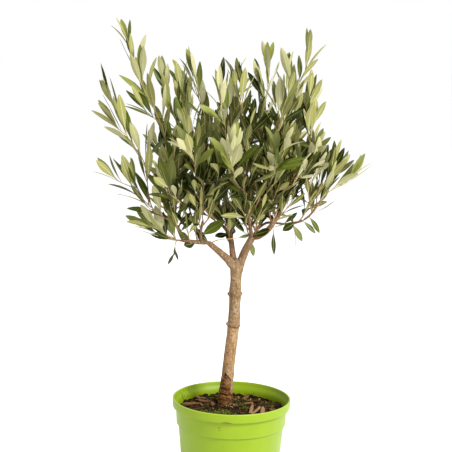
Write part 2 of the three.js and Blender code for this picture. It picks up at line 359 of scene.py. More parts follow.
def spine(name, grown_from, count):
    """Points along the middle of a long node, from the end nearer to what it grew from, with radii."""
    points, faces = node_mesh(name)
    centre = points.mean(0)
    axis = np.linalg.svd(points - centre, full_matrices=False)[2][0]
    reach = (points - centre) @ axis
    ends = [centre + axis * reach.min(), centre + axis * reach.max()]
    if grown_from is not None:
        gaps = [min(np.linalg.norm(grown_from - end, axis=1)) for end in ends]
        if gaps[1] < gaps[0]:
            ends.reverse()
    elif ends[0][2] > ends[1][2]:
        ends.reverse()
    first, last = ends
    along = (last - first) / np.linalg.norm(last - first)
    edges = np.array([(f[i], f[(i + 1) % len(f)]) for f in faces for i in range(len(f))])
    stations = []
    for i in range(count):
        share = 0.03 + 0.94 * i / (count - 1)
        plane = first + (last - first) * share
        side = (points - plane) @ along
        start, end = edges[:, 0], edges[:, 1]
        cut = edges[side[start] * side[end] < 0]
        if not len(cut):
            continue
        weight = (side[cut[:, 0]] / (side[cut[:, 0]] - side[cut[:, 1]]))[:, None]
        ring = points[cut[:, 0]] * (1 - weight) + points[cut[:, 1]] * weight
        low, high = ring.min(0), ring.max(0)
        middle = (ring.mean(0) + (low + high) / 2) / 2
        radius = np.linalg.norm(ring - middle, axis=1).mean()
        stations.append((Vector(middle), radius))
    return stations


class Path:
    """A way through points, measured by its length, and the radius of the wood along it."""

    def __init__(self, points, radii=(MM, MM)):
        self.points = [Vector(point) for point in points]
        self.marks = [0.0]
        for here, there in zip(self.points, self.points[1:]):
            self.marks.append(self.marks[-1] + (there - here).length)
        self.length = self.marks[-1]
        if len(radii) != len(self.points):
            radii = np.interp(self.marks, (0, self.length), radii)
        self.radii = [float(radius) for radius in radii]

    def at(self, distance):
        """The point at a distance along the way, and the heading there."""
        distance = min(max(distance, 0.0), self.length)
        for i in range(1, len(self.marks)):
            if distance <= self.marks[i] or i == len(self.marks) - 1:
                span = max(self.marks[i] - self.marks[i - 1], 1e-9)
                share = (distance - self.marks[i - 1]) / span
                heading = (self.points[i] - self.points[i - 1]).normalized()
                return self.points[i - 1].lerp(self.points[i], share), heading

    def radius(self, distance):
        return float(np.interp(distance, self.marks, self.radii))

    def stretched(self, spacing):
        """The way again as a Catmull-Rom curve with points about spacing apart."""
        ways = self.points
        made, radii = [], []
        for i in range(len(ways) - 1):
            before = ways[i - 1] if i else ways[0] * 2 - ways[1]
            after = ways[i + 2] if i + 2 < len(ways) else ways[-1] * 2 - ways[-2]
            steps = max(1, round((ways[i + 1] - ways[i]).length / spacing))
            for k in range(steps):
                t = k / steps
                made.append(0.5 * (
                    2 * ways[i] + (ways[i + 1] - before) * t
                    + (2 * before - 5 * ways[i] + 4 * ways[i + 1] - after) * t * t
                    + (3 * ways[i] - 3 * ways[i + 1] + after - before) * t ** 3))
                radii.append(self.radii[i] + (self.radii[i + 1] - self.radii[i]) * t)
        made.append(ways[-1].copy())
        radii.append(self.radii[-1])
        return Path(made, radii)


def bow(start, heading, end, arrival, steps):
    """Points of a curve that leaves start along heading and comes into end along arrival."""
    reach = (end - start).length * 0.38
    first, second = start + heading * reach, end - arrival * reach
    made = []
    for k in range(steps + 1):
        t = k / steps
        u = 1 - t
        made.append(start * u ** 3 + first * 3 * u * u * t + second * 3 * u * t * t + end * t ** 3)
    return made


# ---------------------------------------------------------------- bark


class Wood:
    """What has grown so far: points in the wood, where new shoots can start."""

    def __init__(self):
        self.points = []
        self.headings = []
        self.radii = []

    def add(self, path, spacing=5 * MM):
        steps = max(1, round(path.length / spacing))
        for k in range(steps + 1):
            point, heading = path.at(path.length * k / steps)
            self.points.append(point)
            self.headings.append(heading)
            self.radii.append(path.radius(path.length * k / steps))

    def array(self):
        return np.array([tuple(point) for point in self.points])

    def parent_for(self, foot, heading):
        """The best place for a shoot that has to reach foot going along heading."""
        ways = np.array(foot) - self.array()
        gaps = np.linalg.norm(ways, axis=1) + 1e-6
        ways /= gaps[:, None]
        turns = np.arccos(np.clip((ways * np.array([tuple(h) for h in self.headings])).sum(1), -1, 1))
        swings = np.arccos(np.clip(ways @ np.array(heading), -1, 1))
        costs = gaps * (1 + 0.6 * turns ** 2 + 0.5 * swings ** 2)
        return int(np.argmin(costs))


wood = Wood()
limb_paths = {}
STEM_SIDES = 24
BARK_VOXEL = 0.64 * MM


def read_limbs():
    """The middle line and the radii of every limb of the frame, run on into the one it grew from."""
    for name in LIMBS:
        known = wood.array() if wood.points else None
        stations = spine(name, known, 18 if name == "trunk" else 8)
        points = [point for point, _ in stations]
        radii = [radius for _, radius in stations]
        ahead = (points[-1] - points[-2]).normalized()
        if known is None:
            points[0].z = GROUND - 2 * MM
            points.append(points[-1] + ahead * 8 * MM)
            radii.append(radii[-1] * 0.75)
        else:
            nearest = int(np.argmin(np.linalg.norm(known - np.array(points[0]), axis=1)))
            thick = wood.radii[nearest]
            points[0] = wood.points[nearest] - wood.headings[nearest] * thick * 1.2
            radii[0] = min(radii[2] * 1.1, thick * 0.85)
            radii[1] = max(radii[1], min(radii[2] * 1.12, thick * 0.95))
            points.append(points[-1] + ahead * 3 * MM)
            radii.append(radii[-1] * 0.55)
        limb_paths[name] = Path(points, radii).stretched(5 * MM)
        wood.add(limb_paths[name])


def ring_edges(shape, centre, heading, radius, sides):
    turn = heading.to_track_quat("Z", "Y").to_matrix().to_4x4()
    matrix = Matrix.Translation(centre) @ turn
    made = bmesh.ops.create_circle(shape, segments=sides, radius=radius, matrix=matrix)
    return list({edge for vert in made["verts"] for edge in vert.link_edges})


def add_limb(shape, path, sides):
    """A closed tapering tube along a path."""
    loops = []
    for i, (point, radius) in enumerate(zip(path.points, path.radii)):
        before, after = path.points[max(i - 1, 0)], path.points[min(i + 1, len(path.points) - 1)]
        loops.append(ring_edges(shape, point, (after - before).normalized(), radius, sides))
    for first, second in zip(loops, loops[1:]):
        bmesh.ops.bridge_loops(shape, edges=first + second)
    for loop in (loops[0], loops[-1]):
        bmesh.ops.edgeloop_fill(shape, edges=loop)


# Small knobs where side shoots were cut from the stem: height over the ground, the way that they
# face from the tree's right-hand side, how far they stand out, and their size.
KNOBS = [
    (183, 186, 0.7, 2.5),
    (184, 354, 0.3, 2.3),
    (183, 100, 0.3, 2.4),
    (183, 262, -0.4, 2.2),
    (134, 190, 0.7, 2.6),
    (133, 330, 0.5, 2.3),
    (133, 90, 0.2, 2.4),
    (50, 15, 0.0, 2.0),
    (222, 345, 0.3, 2.4),
]
# Dark corky pores on the stem: height, facing, half width and half height.
PORES = [
    (198.5, 274, 1.3, 2.8),
    (193.5, 290, 0.9, 1.1),
    (187.5, 284, 1.1, 1.0),
    (177.0, 292, 0.8, 1.3),
    (171.0, 262, 0.6, 1.0),
    (163.5, 280, 0.9, 1.3),
    (157.0, 296, 0.6, 1.1),
    (152.5, 270, 0.9, 1.4),
    (146.0, 284, 0.6, 0.9),
    (88.5, 246, 0.9, 0.9),
    (69.0, 253, 1.2, 0.8),
    (206.0, 250, 0.8, 1.2),
    (110.0, 262, 0.7, 1.1),
    (100.0, 285, 0.5, 0.9),
    (81.0, 290, 0.5, 0.8),
    (160.0, 100, 0.8, 1.4),
    (195.0, 60, 0.9, 1.6),
    (90.0, 120, 0.8, 1.0),
    (145.0, 30, 0.6, 1.2),
]
RING_CREASE = 129.5  # height over the ground of the crease under the stem's ring, which holds painted shade
SCAR_TIP = 55.5  # height over the ground of the point of the old graft's scar


def stem_at(height):
    """The middle and the radius of the stem at a height."""
    path = limb_paths["trunk"]
    pairs = list(zip(path.points, path.radii))
    for (low, low_radius), (high, high_radius) in zip(pairs, pairs[1:]):
        if low.z <= height <= high.z:
            share = (height - low.z) / (high.z - low.z)
            return low.lerp(high, share), low_radius + (high_radius - low_radius) * share
    return path.points[-1], path.radii[-1]


def bark_blank():
    """The joined, still smooth wood: tubes for the limbs and knobs as one skin."""
    shape = bmesh.new()
    for name, path in limb_paths.items():
        add_limb(shape, path, STEM_SIDES if name == "trunk" else 14)
    # The stem swells a little where the boughs part.
    crotch = Matrix.Translation(limb_paths["trunk"].points[-1] + Vector((0, 0, 1.2 * MM)))
    bmesh.ops.create_icosphere(shape, subdivisions=3, radius=8.4 * MM, matrix=crotch)
    for height, facing, out, size in KNOBS:
        middle, radius = stem_at(GROUND + height * MM)
        angle = math.radians(facing)
        away = Vector((math.cos(angle), math.sin(angle), 0))
        spot = Matrix.Translation(middle + away * (radius + (out - 0.9) * MM))
        swell = Matrix.Diagonal((1, 1, 1.3, 1))
        bmesh.ops.create_icosphere(shape, subdivisions=2, radius=size * MM, matrix=spot @ swell)
    blank = object_from("bark", shape)
    skin = blank.modifiers.new("skin", "REMESH")
    skin.mode = "VOXEL"
    skin.voxel_size = BARK_VOXEL
    settle_modifiers(blank)
    return blank


def bell(value, width):
    return math.exp(-(value / width) ** 2)


def share_of(value, span):
    """0 below zero and 1 above span, straight between."""
    return min(max(value / span, 0.0), 1.0)


def scar_marks(across, below, front):
    """How rough the bark is round the scar, how much painted shade lies in its sunken edge and point, and
    how far it stands out, in millimetres.
    """
    reach = 0.83 * min(below, 13) + 0.06 * max(below - 13, 0)
    in_lip = reach - across
    in_left = across + 0.3 * below
    rough = share_of(in_lip, 1.0) * share_of(max(in_left, below - 10), 1.4) * share_of(below, 1.5) * front
    cut = front * share_of(below, 1.2)
    lip = cut * bell(in_lip + 1.0, 1.0) * share_of(26 - below, 8)
    edge = cut * bell(in_lip - 0.8, 0.9) * share_of(18 - below, 6)
    tip = cut * bell(in_left - 1.6, 2.0) * share_of(in_lip, 0.8) * share_of(11 - below, 4)
    knob = front * bell(math.hypot(across - 6.7, (below - 16.5) * 0.85), 3.8)
    push = 0.7 * lip - 1.1 * edge - 1.0 * tip + 1.1 * knob
    # The second value is painted shade, where the scar's edge and point are pressed in.
    return rough * (1 - 0.75 * knob), max(0.9 * edge, tip), push


def carve_bark(blank):
    """Presses the bark's relief into the blank, and marks its rough and warm places, its dark pores, the
    painted shade in its grooves, crease and scar, and its darker limbs, partly painted shade.
    """
    mesh = blank.data
    shape = bmesh.new()
    shape.from_mesh(mesh)
    for _ in range(4):
        bmesh.ops.smooth_vert(shape, verts=shape.verts, factor=0.5)
    bmesh.ops.recalc_face_normals(shape, faces=shape.faces)
    shape.to_mesh(mesh)
    shape.free()
    tree = KDTree(len(wood.points))
    for i, point in enumerate(wood.points):
        tree.insert(point, i)
    tree.balance()
    fork = limb_paths["trunk"].points[-1].z - 10 * MM
    marks = {name: [] for name in ("foot", "dark", "warm", "limb")}
    moved = []
    for vert in mesh.vertices:
        point, normal = vert.co.copy(), vert.normal
        index = max((found[1] for found in tree.find_n(point, 4)), key=lambda k: wood.radii[k])
        heading, radius = wood.headings[index], wood.radii[index]
        size = min(radius / (9 * MM), 1.0)
        along = heading * point.dot(heading)
        ridges = noise.noise((point - along) * 420 + along * 42)
        fine = noise.noise((point - along) * 1100 + along * 300)
        lumps = noise.noise(point * 95)
        push = (0.34 * lumps + 0.22 * ridges + 0.16 * fine) * (0.35 + 0.65 * size)
        dark = 0.0
        foot = 0.0
        warm = 0.35 * max(0, noise.noise(point * 33))
        if point.z < fork + 20 * MM:
            height = (point.z - GROUND) / MM
            middle, stem_radius = stem_at(point.z)
            facing = math.atan2(point.y - middle.y, point.x - middle.x)
            wander = noise.noise(Vector((math.cos(facing) * 1.6, math.sin(facing) * 1.6, height * 0.02)))
            front = share_of((middle.y - point.y) / MM + 3, 3)
            across = (point.x - middle.x) / MM + 4.8
            rough, dark, carved = scar_marks(across, SCAR_TIP - height, front)
            foot = max(rough, share_of(24 + 5 * wander - height + 8 * (1 - front), 5))
            push += carved
            plates = noise.noise(Vector((point.x * 150, point.y * 150, point.z * 480)))
            push += foot * (0.55 * plates + 0.45 * noise.noise(point * 300))
            push += 1.9 * share_of(46 - height, 34) * max(0.0, -math.cos(facing - 0.3))
            # Three grooves round the foot, with painted shade in them.
            for groove, depth in ((26.8, 0.9), (17.2, 1.0), (8.0, 0.5)):
                sunk = foot * bell(height - groove - 2.2 * wander, 1.5)
                push -= depth * sunk
                dark = max(dark, 0.8 * sunk)
            push += foot * 0.5 * bell(height - 21.8, 2.0)
            # The ring: a deep crease at the front right with a swollen edge over it, and painted shade in
            # the crease.
            sag = height - RING_CREASE + 1.1 * math.cos(facing)
            sag -= 0.8 * math.sin(2 * facing + 0.4) + 0.8 * wander
            crease = bell(sag, 1.3) * (0.62 + 0.38 * math.cos(facing - math.radians(320)))
            push += 0.6 * bell(sag - 3.4, 2.4) - 0.9 * crease
            push += 0.3 * bell(height - 184 - 1.5 * wander, 2.0)
            # Painted shade in the crease.
            dark = max(dark, 0.62 * crease)
            for wrinkle in (179.5, 186.5, 136.0, 139.5):
                push -= 0.22 * bell(height - wrinkle - 1.6 * wander, 0.6)
            for pore, turn, half_width, half_height in PORES:
                if abs(height - pore) < 6:
                    swing = (facing - math.radians(turn) + math.pi) % math.tau - math.pi
                    gap = math.hypot(swing * stem_radius / MM / half_width, (height - pore) / half_height)
                    dark = max(dark, bell(gap, 1.15))
                    push += 0.25 * bell(gap - 1.6, 0.6) - 0.35 * bell(gap, 0.8)
            under_ring = share_of(RING_CREASE - height, 2) * share_of(height - RING_CREASE + 9, 9)
            warm = max(0.6 * warm, 0.85 * under_ring, 0.62 * share_of(RING_CREASE - height + 1, 6))
        moved.append(point + normal * push * MM)
        marks["foot"].append(foot)
        marks["dark"].append(min(max(dark, 0.0), 1.0))
        marks["warm"].append(warm)
        # How much of the limbs' darker brown a point takes: partly their own colour, partly painted shade.
        high = share_of((point.z - fork + 4 * MM) / MM, 30)
        slim = share_of((4.4 * MM - radius) / MM, 2.4)
        marks["limb"].append(min(0.70 * high + 0.25 * slim, 0.9))
    for vert, point in zip(mesh.vertices, moved):
        vert.co = point
    for name, values in marks.items():
        layer = mesh.attributes.new(name, "FLOAT", "POINT")
        layer.data.foreach_set("value", values)
    smooth_over(mesh)
    mesh.materials.append(olive_bark())
    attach(blank, "root")
    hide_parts(*LIMBS)


# ---------------------------------------------------------------- shoots and leaves

# A leaf in unit length lies along +Y with its upper face to +Z. Its stations run from the foot of
# its stalk to its point, and its half width is a share of its greatest.
STATIONS = (0.0, 0.075, 0.13, 0.24, 0.38, 0.54, 0.70, 0.85, 0.95, 1.0)
STALK = 0.09
LEAF_SHARE = 0.235  # a leaf's width as a share of its length
RIB_SHARE = 0.011  # half the width of its rib
THICK_SHARE = 0.010  # its thickness at the rib
UPPER, UPPER_RIB, UNDER, UNDER_RIB = range(4)


def leaf_outline(station, fullest):
    if station <= STALK:
        return 0.12
    along = (station - STALK) / (1 - STALK)
    if along >= 1:
        return 0.03
    swell = math.sin(math.pi * along ** fullest)
    return 0.07 + 0.93 * swell ** (1.1 if along < 0.55 else 0.85)


def leaf_form(arch, twist, fold, fullest):
    """One thin closed leaf: its points, its faces, and which part of the leaf each face is."""
    shape = bmesh.new()
    last = len(STATIONS) - 1
    bmesh.ops.create_grid(shape, x_segments=3, y_segments=last, size=0.5)
    rows = {}
    for vert in shape.verts:
        row = round((vert.co.y + 0.5) * last)
        column = round((vert.co.x + 0.5) * 3)
        rows[vert] = (row, column)
    for vert, (row, column) in rows.items():
        station = STATIONS[row]
        half = LEAF_SHARE / 2 * leaf_outline(station, fullest)
        ribbed = min(RIB_SHARE * (1.3 - 0.9 * station), half * 0.5)
        across = (-half, -ribbed, ribbed, half)[column]
        lift = fold * abs(across) - 0.35 * fold * abs(across) ** 2 / half
        turn = twist * station
        bend = arch * station
        middle = Vector((0, math.sin(bend) / arch, (1 - math.cos(bend)) / arch))
        normal = Vector((0, -math.sin(bend), math.cos(bend)))
        side = Vector((math.cos(turn), 0, 0)) + normal * math.sin(turn)
        raised = normal * math.cos(turn) - Vector((math.sin(turn), 0, 0))
        vert.co = middle + side * across + raised * lift
    upper = list(shape.faces)
    kinds = {}
    for face in upper:
        columns = sorted(rows[vert][1] for vert in face.verts)
        kinds[face] = UPPER_RIB if columns == [1, 1, 2, 2] else UPPER
    bmesh.ops.recalc_face_normals(shape, faces=upper)
    if sum(face.normal.z for face in upper) < 0:
        bmesh.ops.reverse_faces(shape, faces=upper)
    shape.normal_update()
    normals = {key: vert.normal.copy() for vert, key in rows.items()}
    copy = bmesh.ops.duplicate(shape, geom=upper)
    face_map = copy["face_map"]
    vert_map = copy["vert_map"]
    for vert, key in list(rows.items()):
        row, column = key
        if column in (1, 2) and 0 < row < last:
            vert_map[vert].co -= normals[key] * THICK_SHARE * (1 - 0.6 * STATIONS[row])
    under = [face_map[face] for face in upper]
    bmesh.ops.reverse_faces(shape, faces=under)
    for face in upper:
        kinds[face_map[face]] = UNDER_RIB if kinds[face] == UPPER_RIB else UNDER
    parts = [kinds[face] for face in shape.faces]
    layer = shape.faces.layers.int.new("part")
    for face, part in zip(shape.faces, parts):
        face[layer] = part
    bmesh.ops.remove_doubles(shape, verts=shape.verts, dist=1e-5)
    shape.verts.index_update()
    points = np.array([tuple(vert.co) for vert in shape.verts])
    faces = [tuple(vert.index for vert in face.verts) for face in shape.faces]
    layer = shape.faces.layers.int["part"]
    parts = [face[layer] for face in shape.faces]
    shape.free()
    return points, faces, parts


LEAF_FORMS = [
    leaf_form(0.25, 0.10, 0.20, 1.15),
    leaf_form(-0.30, -0.15, 0.12, 1.05),
    leaf_form(0.45, 0.30, 0.18, 1.20),
    leaf_form(-0.12, -0.35, 0.24, 1.25),
    leaf_form(0.10, 0.45, 0.10, 1.10),
    leaf_form(-0.50, 0.20, 0.15, 1.30),
]

# Leaf tones are plain, and dealt out by the spray: fresh growth is paler and yellower, and the deep upper
# and dim under tones are painted shade for leaves inside and under the crown.
UPPER_TONES = {
    "deep": (0.017, 0.024, 0.0014),
    "olive": (0.050, 0.061, 0.004),
    "green": (0.060, 0.080, 0.004),
    "grey": (0.094, 0.106, 0.021),
    "fresh": (0.150, 0.163, 0.030),
}
UNDER_TONES = {
    "silver": (0.284, 0.275, 0.129),
    "cream": (0.325, 0.310, 0.162),
    "sage": (0.218, 0.214, 0.068),
    # A darker copy of the under tones, as painted shade.
    "dim": (0.100, 0.099, 0.022),
}
RIB_TONES = {"upper": (0.108, 0.128, 0.030), "under": (0.345, 0.335, 0.165)}
TWIG_TONES = {
    "woody": (0.205, 0.108, 0.050),
    "tan": (0.380, 0.228, 0.098),
    "young": (0.360, 0.290, 0.110),
}


def leaf_finishes():
    made = {}
    for name, tone in UPPER_TONES.items():
        made["upper", name] = plain(
            f"leaf_upper_{name}", tone, 0.5, Specular_IOR_Level=0.08 if name == "deep" else 0.16)
    for name, tone in UNDER_TONES.items():
        made["under", name] = plain(
            f"leaf_under_{name}", tone, 0.85, Specular_IOR_Level=0.08)
    made["rib", "upper"] = plain("leaf_rib_upper", RIB_TONES["upper"], 0.5)
    made["rib", "under"] = plain("leaf_rib_under", RIB_TONES["under"], 0.6)
    for name, tone in TWIG_TONES.items():
        made["twig", name] = plain(f"twig_{name}", tone, 0.7, Specular_IOR_Level=0.25)
    return made


FINISHES = leaf_finishes()
UPPER_NAMES = list(UPPER_TONES)
UNDER_NAMES = list(UNDER_TONES)


class Spray:
    """The twigs and leaves that grow in one mass."""

    def __init__(self, name, seed):
        self.name = name
        self.chance = random.Random(seed)
        self.twigs = []
        self.leaves = []

    def add_twig(self, path, bark=(0.35, 0.7)):
        """A twig that is woody up to the first share of its way, tan up to the second, then young."""
        self.twigs.append((path, bark))
        wood.add(path)

    def add_leaf(self, foot, direction, upper, length, tones, slim=1.0):
        form = self.chance.randrange(len(LEAF_FORMS))
        self.leaves.append((foot, direction, upper, length, slim, form, tones))

    def leaf_object(self, nodes=()):
        points, faces, slots = [], [], []
        total = 0
        kinds = [("upper", name) for name in UPPER_NAMES] + [("under", name) for name in UNDER_NAMES]
        kinds += [("rib", "upper"), ("rib", "under")]
        for foot, direction, upper, length, slim, form, (upper_tone, under_tone) in self.leaves:
            shape, quads, parts = LEAF_FORMS[form]
            side = direction.cross(upper).normalized()
            flat = side.cross(direction).normalized()
            basis = np.array([tuple(side * slim), tuple(direction), tuple(flat)]) * length
            points.append(shape @ basis + np.array(tuple(foot)))
            slot_of = {
                UPPER: kinds.index(("upper", upper_tone)),
                UNDER: kinds.index(("under", under_tone)),
                UPPER_RIB: kinds.index(("rib", "upper")),
                UNDER_RIB: kinds.index(("rib", "under")),
            }
            faces += [tuple(index + total for index in quad) for quad in quads]
            slots += [slot_of[part] for part in parts]
            total += len(shape)
        piece = joined_piece(f"{self.name}_leaves", np.concatenate(points), faces, slots,
                             [FINISHES[kind] for kind in kinds], 60)
        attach(piece, "root")
        if nodes:
            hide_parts(*nodes)
        return piece

    def twig_object(self):
        points, faces, slots = [], [], []
        total = 0
        for path, bark in self.twigs:
            rings = max(3, round(path.length / (5 * MM)))
            sides = 8 if path.radii[0] > 1.2 * MM else 6
            for k in range(rings + 1):
                point, heading = path.at(path.length * k / rings)
                radius = path.radius(path.length * k / rings) * (1 + 0.10 * math.sin(k * 2.1))
                side = heading.orthogonal().normalized()
                other = heading.cross(side)
                for j in range(sides):
                    angle = math.tau * j / sides
                    points.append(point + side * radius * math.cos(angle) + other * radius * math.sin(angle))
            for k in range(rings):
                for j in range(sides):
                    a, b = total + k * sides + j, total + k * sides + (j + 1) % sides
                    faces.append((a, b, b + sides, a + sides))
                    slots.append(0 if k / rings < bark[0] else 1 if k / rings < bark[1] else 2)
            last = total + rings * sides
            faces.append(tuple(range(total + sides - 1, total - 1, -1)))
            faces.append(tuple(range(last, last + sides)))
            slots += [slots[-1]] * 2
            total = len(points)
        flat = np.array([tuple(point) for point in points])
        materials = [FINISHES["twig", name] for name in TWIG_TONES]
        piece = joined_piece(f"{self.name}_twigs", flat, faces, slots, materials, 70)
        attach(piece, "root")
        return piece


def joined_piece(name, points, faces, slots, materials, sharp_angle):
    """One object from arrays, smooth but for edges sharper than an angle in degrees."""
    mesh = bpy.data.meshes.new(name)
    mesh.from_pydata(points.tolist(), [], faces)
    for material in materials:
        mesh.materials.append(material)
    mesh.polygons.foreach_set("material_index", slots)
    smooth_over(mesh)
    mesh.set_sharp_from_angle(angle=math.radians(sharp_angle))
    return object_of(name, mesh)


class Mass:
    """The closed surface of one mass, which tells how deep inside it a point lies."""

    def __init__(self, name):
        points, faces = node_mesh(name)
        self.surface = BVHTree.FromPolygons([Vector(point) for point in points], faces)
        self.low, self.high = Vector(points.min(0)), Vector(points.max(0))

    def outside(self, point):
        """How far a point stands outside, below zero inside."""
        near, normal, _, distance = self.surface.find_nearest(point)
        return distance if (point - near).dot(normal) > 0 else -distance


class Crown:
    """All the masses together, which the leaves keep inside."""

    def __init__(self, names):
        self.masses = {name: Mass(name) for name in names}
        low = [min(mass.low[i] for mass in self.masses.values()) for i in range(3)]
        high = [max(mass.high[i] for mass in self.masses.values()) for i in range(3)]
        self.middle = (Vector(low) + Vector(high)) / 2 - UP * 10 * MM
        self.half = (Vector(high) - Vector(low)) / 2
        self.feet = []

    def outside(self, point, margin):
        """Whether a point lies farther than a margin outside every mass."""
        for mass in self.masses.values():
            low, high = mass.low, mass.high
            if all(low[i] - margin < point[i] < high[i] + margin for i in range(3)):
                if mass.outside(point) < margin:
                    return False
        return True

    def spread(self, point):
        """0 at the middle of the crown and 1 at its outside."""
        away = point - self.middle
        return math.sqrt(sum((away[i] / self.half[i]) ** 2 for i in range(3)))


crown = Crown(HEARTS + SPRAYS)
PROUD = 13 * MM  # how far a leaf's point may stand out of its mass


def spray_tones(chance, spread):
    """The upper and under tone of a shoot's leaves, fresher towards the outside of the crown and painted
    darker, as shade, towards its middle.
    """
    if spread > 0.78:
        upper = chance.choice(["grey", "grey", "fresh", "fresh", "olive", "green"])
        under = chance.choice(["silver", "silver", "sage", "sage", "cream"])
    elif spread > 0.5:
        upper = chance.choice(["olive", "green", "grey", "deep"])
        under = chance.choice(["cream", "silver", "sage", "sage", "dim"])
    else:
        upper = chance.choice(["deep", "deep", "olive", "green"])
        under = chance.choice(["sage", "dim", "dim"])
    return upper, under


def set_leaf(spray, foot, heading, azimuth, lift, length, tones, slim, bound=True):
    """One leaf at a node of a shoot, turned in until its point lies in the crown."""
    chance = spray.chance
    side = heading.orthogonal().normalized()
    side.rotate(Matrix.Rotation(azimuth, 3, heading))
    for _ in range(5):
        direction = (heading * math.cos(lift) + side * math.sin(lift)).normalized()
        direction = (direction + UP * 0.3).normalized()
        if not bound or not crown.outside(foot + direction * length, PROUD):
            break
        lift *= 0.72
        length *= 0.98
    upper = heading * math.sin(lift) - side * math.cos(lift)
    sky = UP - direction * UP.dot(direction)
    upper = (upper * 0.62 + sky * 0.5).normalized()
    upper.rotate(Matrix.Rotation(chance.gauss(0, 0.6), 3, direction))
    crown.feet.append(foot + direction * length * 0.55)
    slim *= chance.uniform(0.85, 1.12)
    spray.add_leaf(foot + side * 0.4 * MM, direction, upper, length, tones, slim)


def clothe(spray, path, start, habit, bound=True):
    """Sets pairs of leaves along a shoot from a distance on, each pair crossing the last."""
    chance = spray.chance
    spread = crown.spread(path.at(path.length)[0]) * habit["light"]
    tones = spray_tones(chance, spread)
    azimuth = chance.uniform(0, math.tau)
    mark = start + chance.uniform(0, 0.5) * habit["spacing"]
    while mark < path.length - 4 * MM:
        share = mark / path.length
        foot, heading = path.at(mark)
        size = chance.uniform(*habit["leaf"]) * (1 - 0.22 * max(0, (share - 0.75) / 0.25))
        lift = habit["low"] + (habit["high"] - habit["low"]) * share
        for turn in (0, math.pi):
            if chance.random() < 0.06:
                continue
            angle = azimuth + turn + chance.gauss(0, 0.2)
            own = tones if chance.random() < 0.75 else spray_tones(chance, spread)
            set_leaf(spray, foot, heading, angle, lift * chance.uniform(0.75, 1.25),
                     size * chance.uniform(0.9, 1.08), own, habit["slim"], bound)
        azimuth += math.pi / 2 + chance.gauss(0, 0.22)
        mark += habit["spacing"] * chance.uniform(0.85, 1.15)
    tip, heading = path.at(path.length)
    for turn in (0, math.pi):
        set_leaf(spray, tip, heading, azimuth + turn, chance.uniform(0.10, 0.26),
                 habit["leaf"][0] * chance.uniform(0.82, 1.02), tones, habit["slim"], bound)


def habit_of(spacing, leaf, low, high, light, slim):
    """How shoots bear their leaves.

    It holds the distance between pairs and the range of the leaves' length, in millimetres, how far
    leaves stand off the shoot at its foot and at its tip, in radians, how much light reaches them,
    and how narrow they are.
    """
    leaf = tuple(length * MM for length in leaf)
    return {"spacing": spacing * MM, "leaf": leaf, "low": low, "high": high, "light": light, "slim": slim}


TALL = habit_of(21, (54, 68), 0.62, 0.26, 1.0, 0.9)
CREST = habit_of(24, (48, 63), 0.62, 0.26, 1.25, 0.9)
OUTER = habit_of(18, (48, 62), 0.75, 0.34, 1.0, 0.95)
INNER = habit_of(15, (42, 56), 0.90, 0.42, 0.9, 1.0)
SPRIG = habit_of(13, (34, 52), 1.00, 0.50, 0.6, 1.0)


def grow_lateral(spray, start, heading, length, radius, habit):
    """A side shoot that curves up a little, with its leaves."""
    rise = (heading + UP * 0.45).normalized()
    points = bow(start, heading, start + (heading * 0.75 + rise * 0.25).normalized() * length, rise, 5)
    path = Path(points, (radius, max(radius * 0.5, 0.5 * MM)))
    spray.add_twig(path, (0.25, 0.7) if habit is INNER else (0.0, 0.35))
    clothe(spray, path, min(8 * MM, length * 0.3), habit)


def grow_mass(name, seed, laterals, habit):
    """The main shoot of a mass, from the nearest wood to its tip, with side shoots and leaves."""
    spray = Spray(name, seed)
    chance = spray.chance
    stations = spine(name, wood.array(), 9)
    middles = [point for point, _ in stations]
    foot_heading = (middles[2] - middles[0]).normalized()
    parent = wood.parent_for(middles[0], foot_heading)
    origin, parent_heading = wood.points[parent], wood.headings[parent]
    leave = (parent_heading * 0.5 + (middles[0] - origin).normalized()).normalized()
    start = bow(origin, leave, middles[0], foot_heading, 5)
    inside = [point + Vector([chance.gauss(0, 1.4 * MM) for _ in range(3)]) for point in middles[1:]]
    whole = Path(start + inside).stretched(6 * MM)
    stop = whole.length - (40 * MM if whole.length > 80 * MM else 0.4 * whole.length)
    points = [whole.at(stop * k / 24)[0] for k in range(25)]
    is_heart = habit is INNER
    length = Path(points).length
    first = min(wood.radii[parent] * 0.85, (0.9 * MM + 0.0095 * length) * (1.4 if is_heart else 1.0))
    first = max(first, 0.8 * MM)
    path = Path(points, (first, 0.65 * MM))
    spray.add_twig(path, (0.75, 1.0) if is_heart else (0.20, 0.50))
    entry = Path(start).length
    clothe(spray, path, entry + (6 * MM if is_heart else 0), habit)
    turn = chance.uniform(0, math.tau)
    for k in range(laterals):
        share = (k + 0.5) / laterals
        mark = entry + (length - entry) * (0.02 + 0.72 * share)
        point, heading = path.at(mark)
        side = heading.orthogonal().normalized()
        side.rotate(Matrix.Rotation(turn, 3, heading))
        turn += 2.4 + chance.gauss(0, 0.25)
        angle = chance.uniform(0.55, 0.95) if is_heart else chance.uniform(0.40, 0.65)
        away = (heading * math.cos(angle) + side * math.sin(angle)).normalized()
        room = stations[min(int(share * 8), len(stations) - 1)][1] / math.sin(angle)
        reach = max(room - 20 * MM, 16 * MM) * chance.uniform(0.85, 1.2)
        grow_lateral(spray, point, away, reach, max(0.8 * MM, first * 0.5), habit)
    return spray


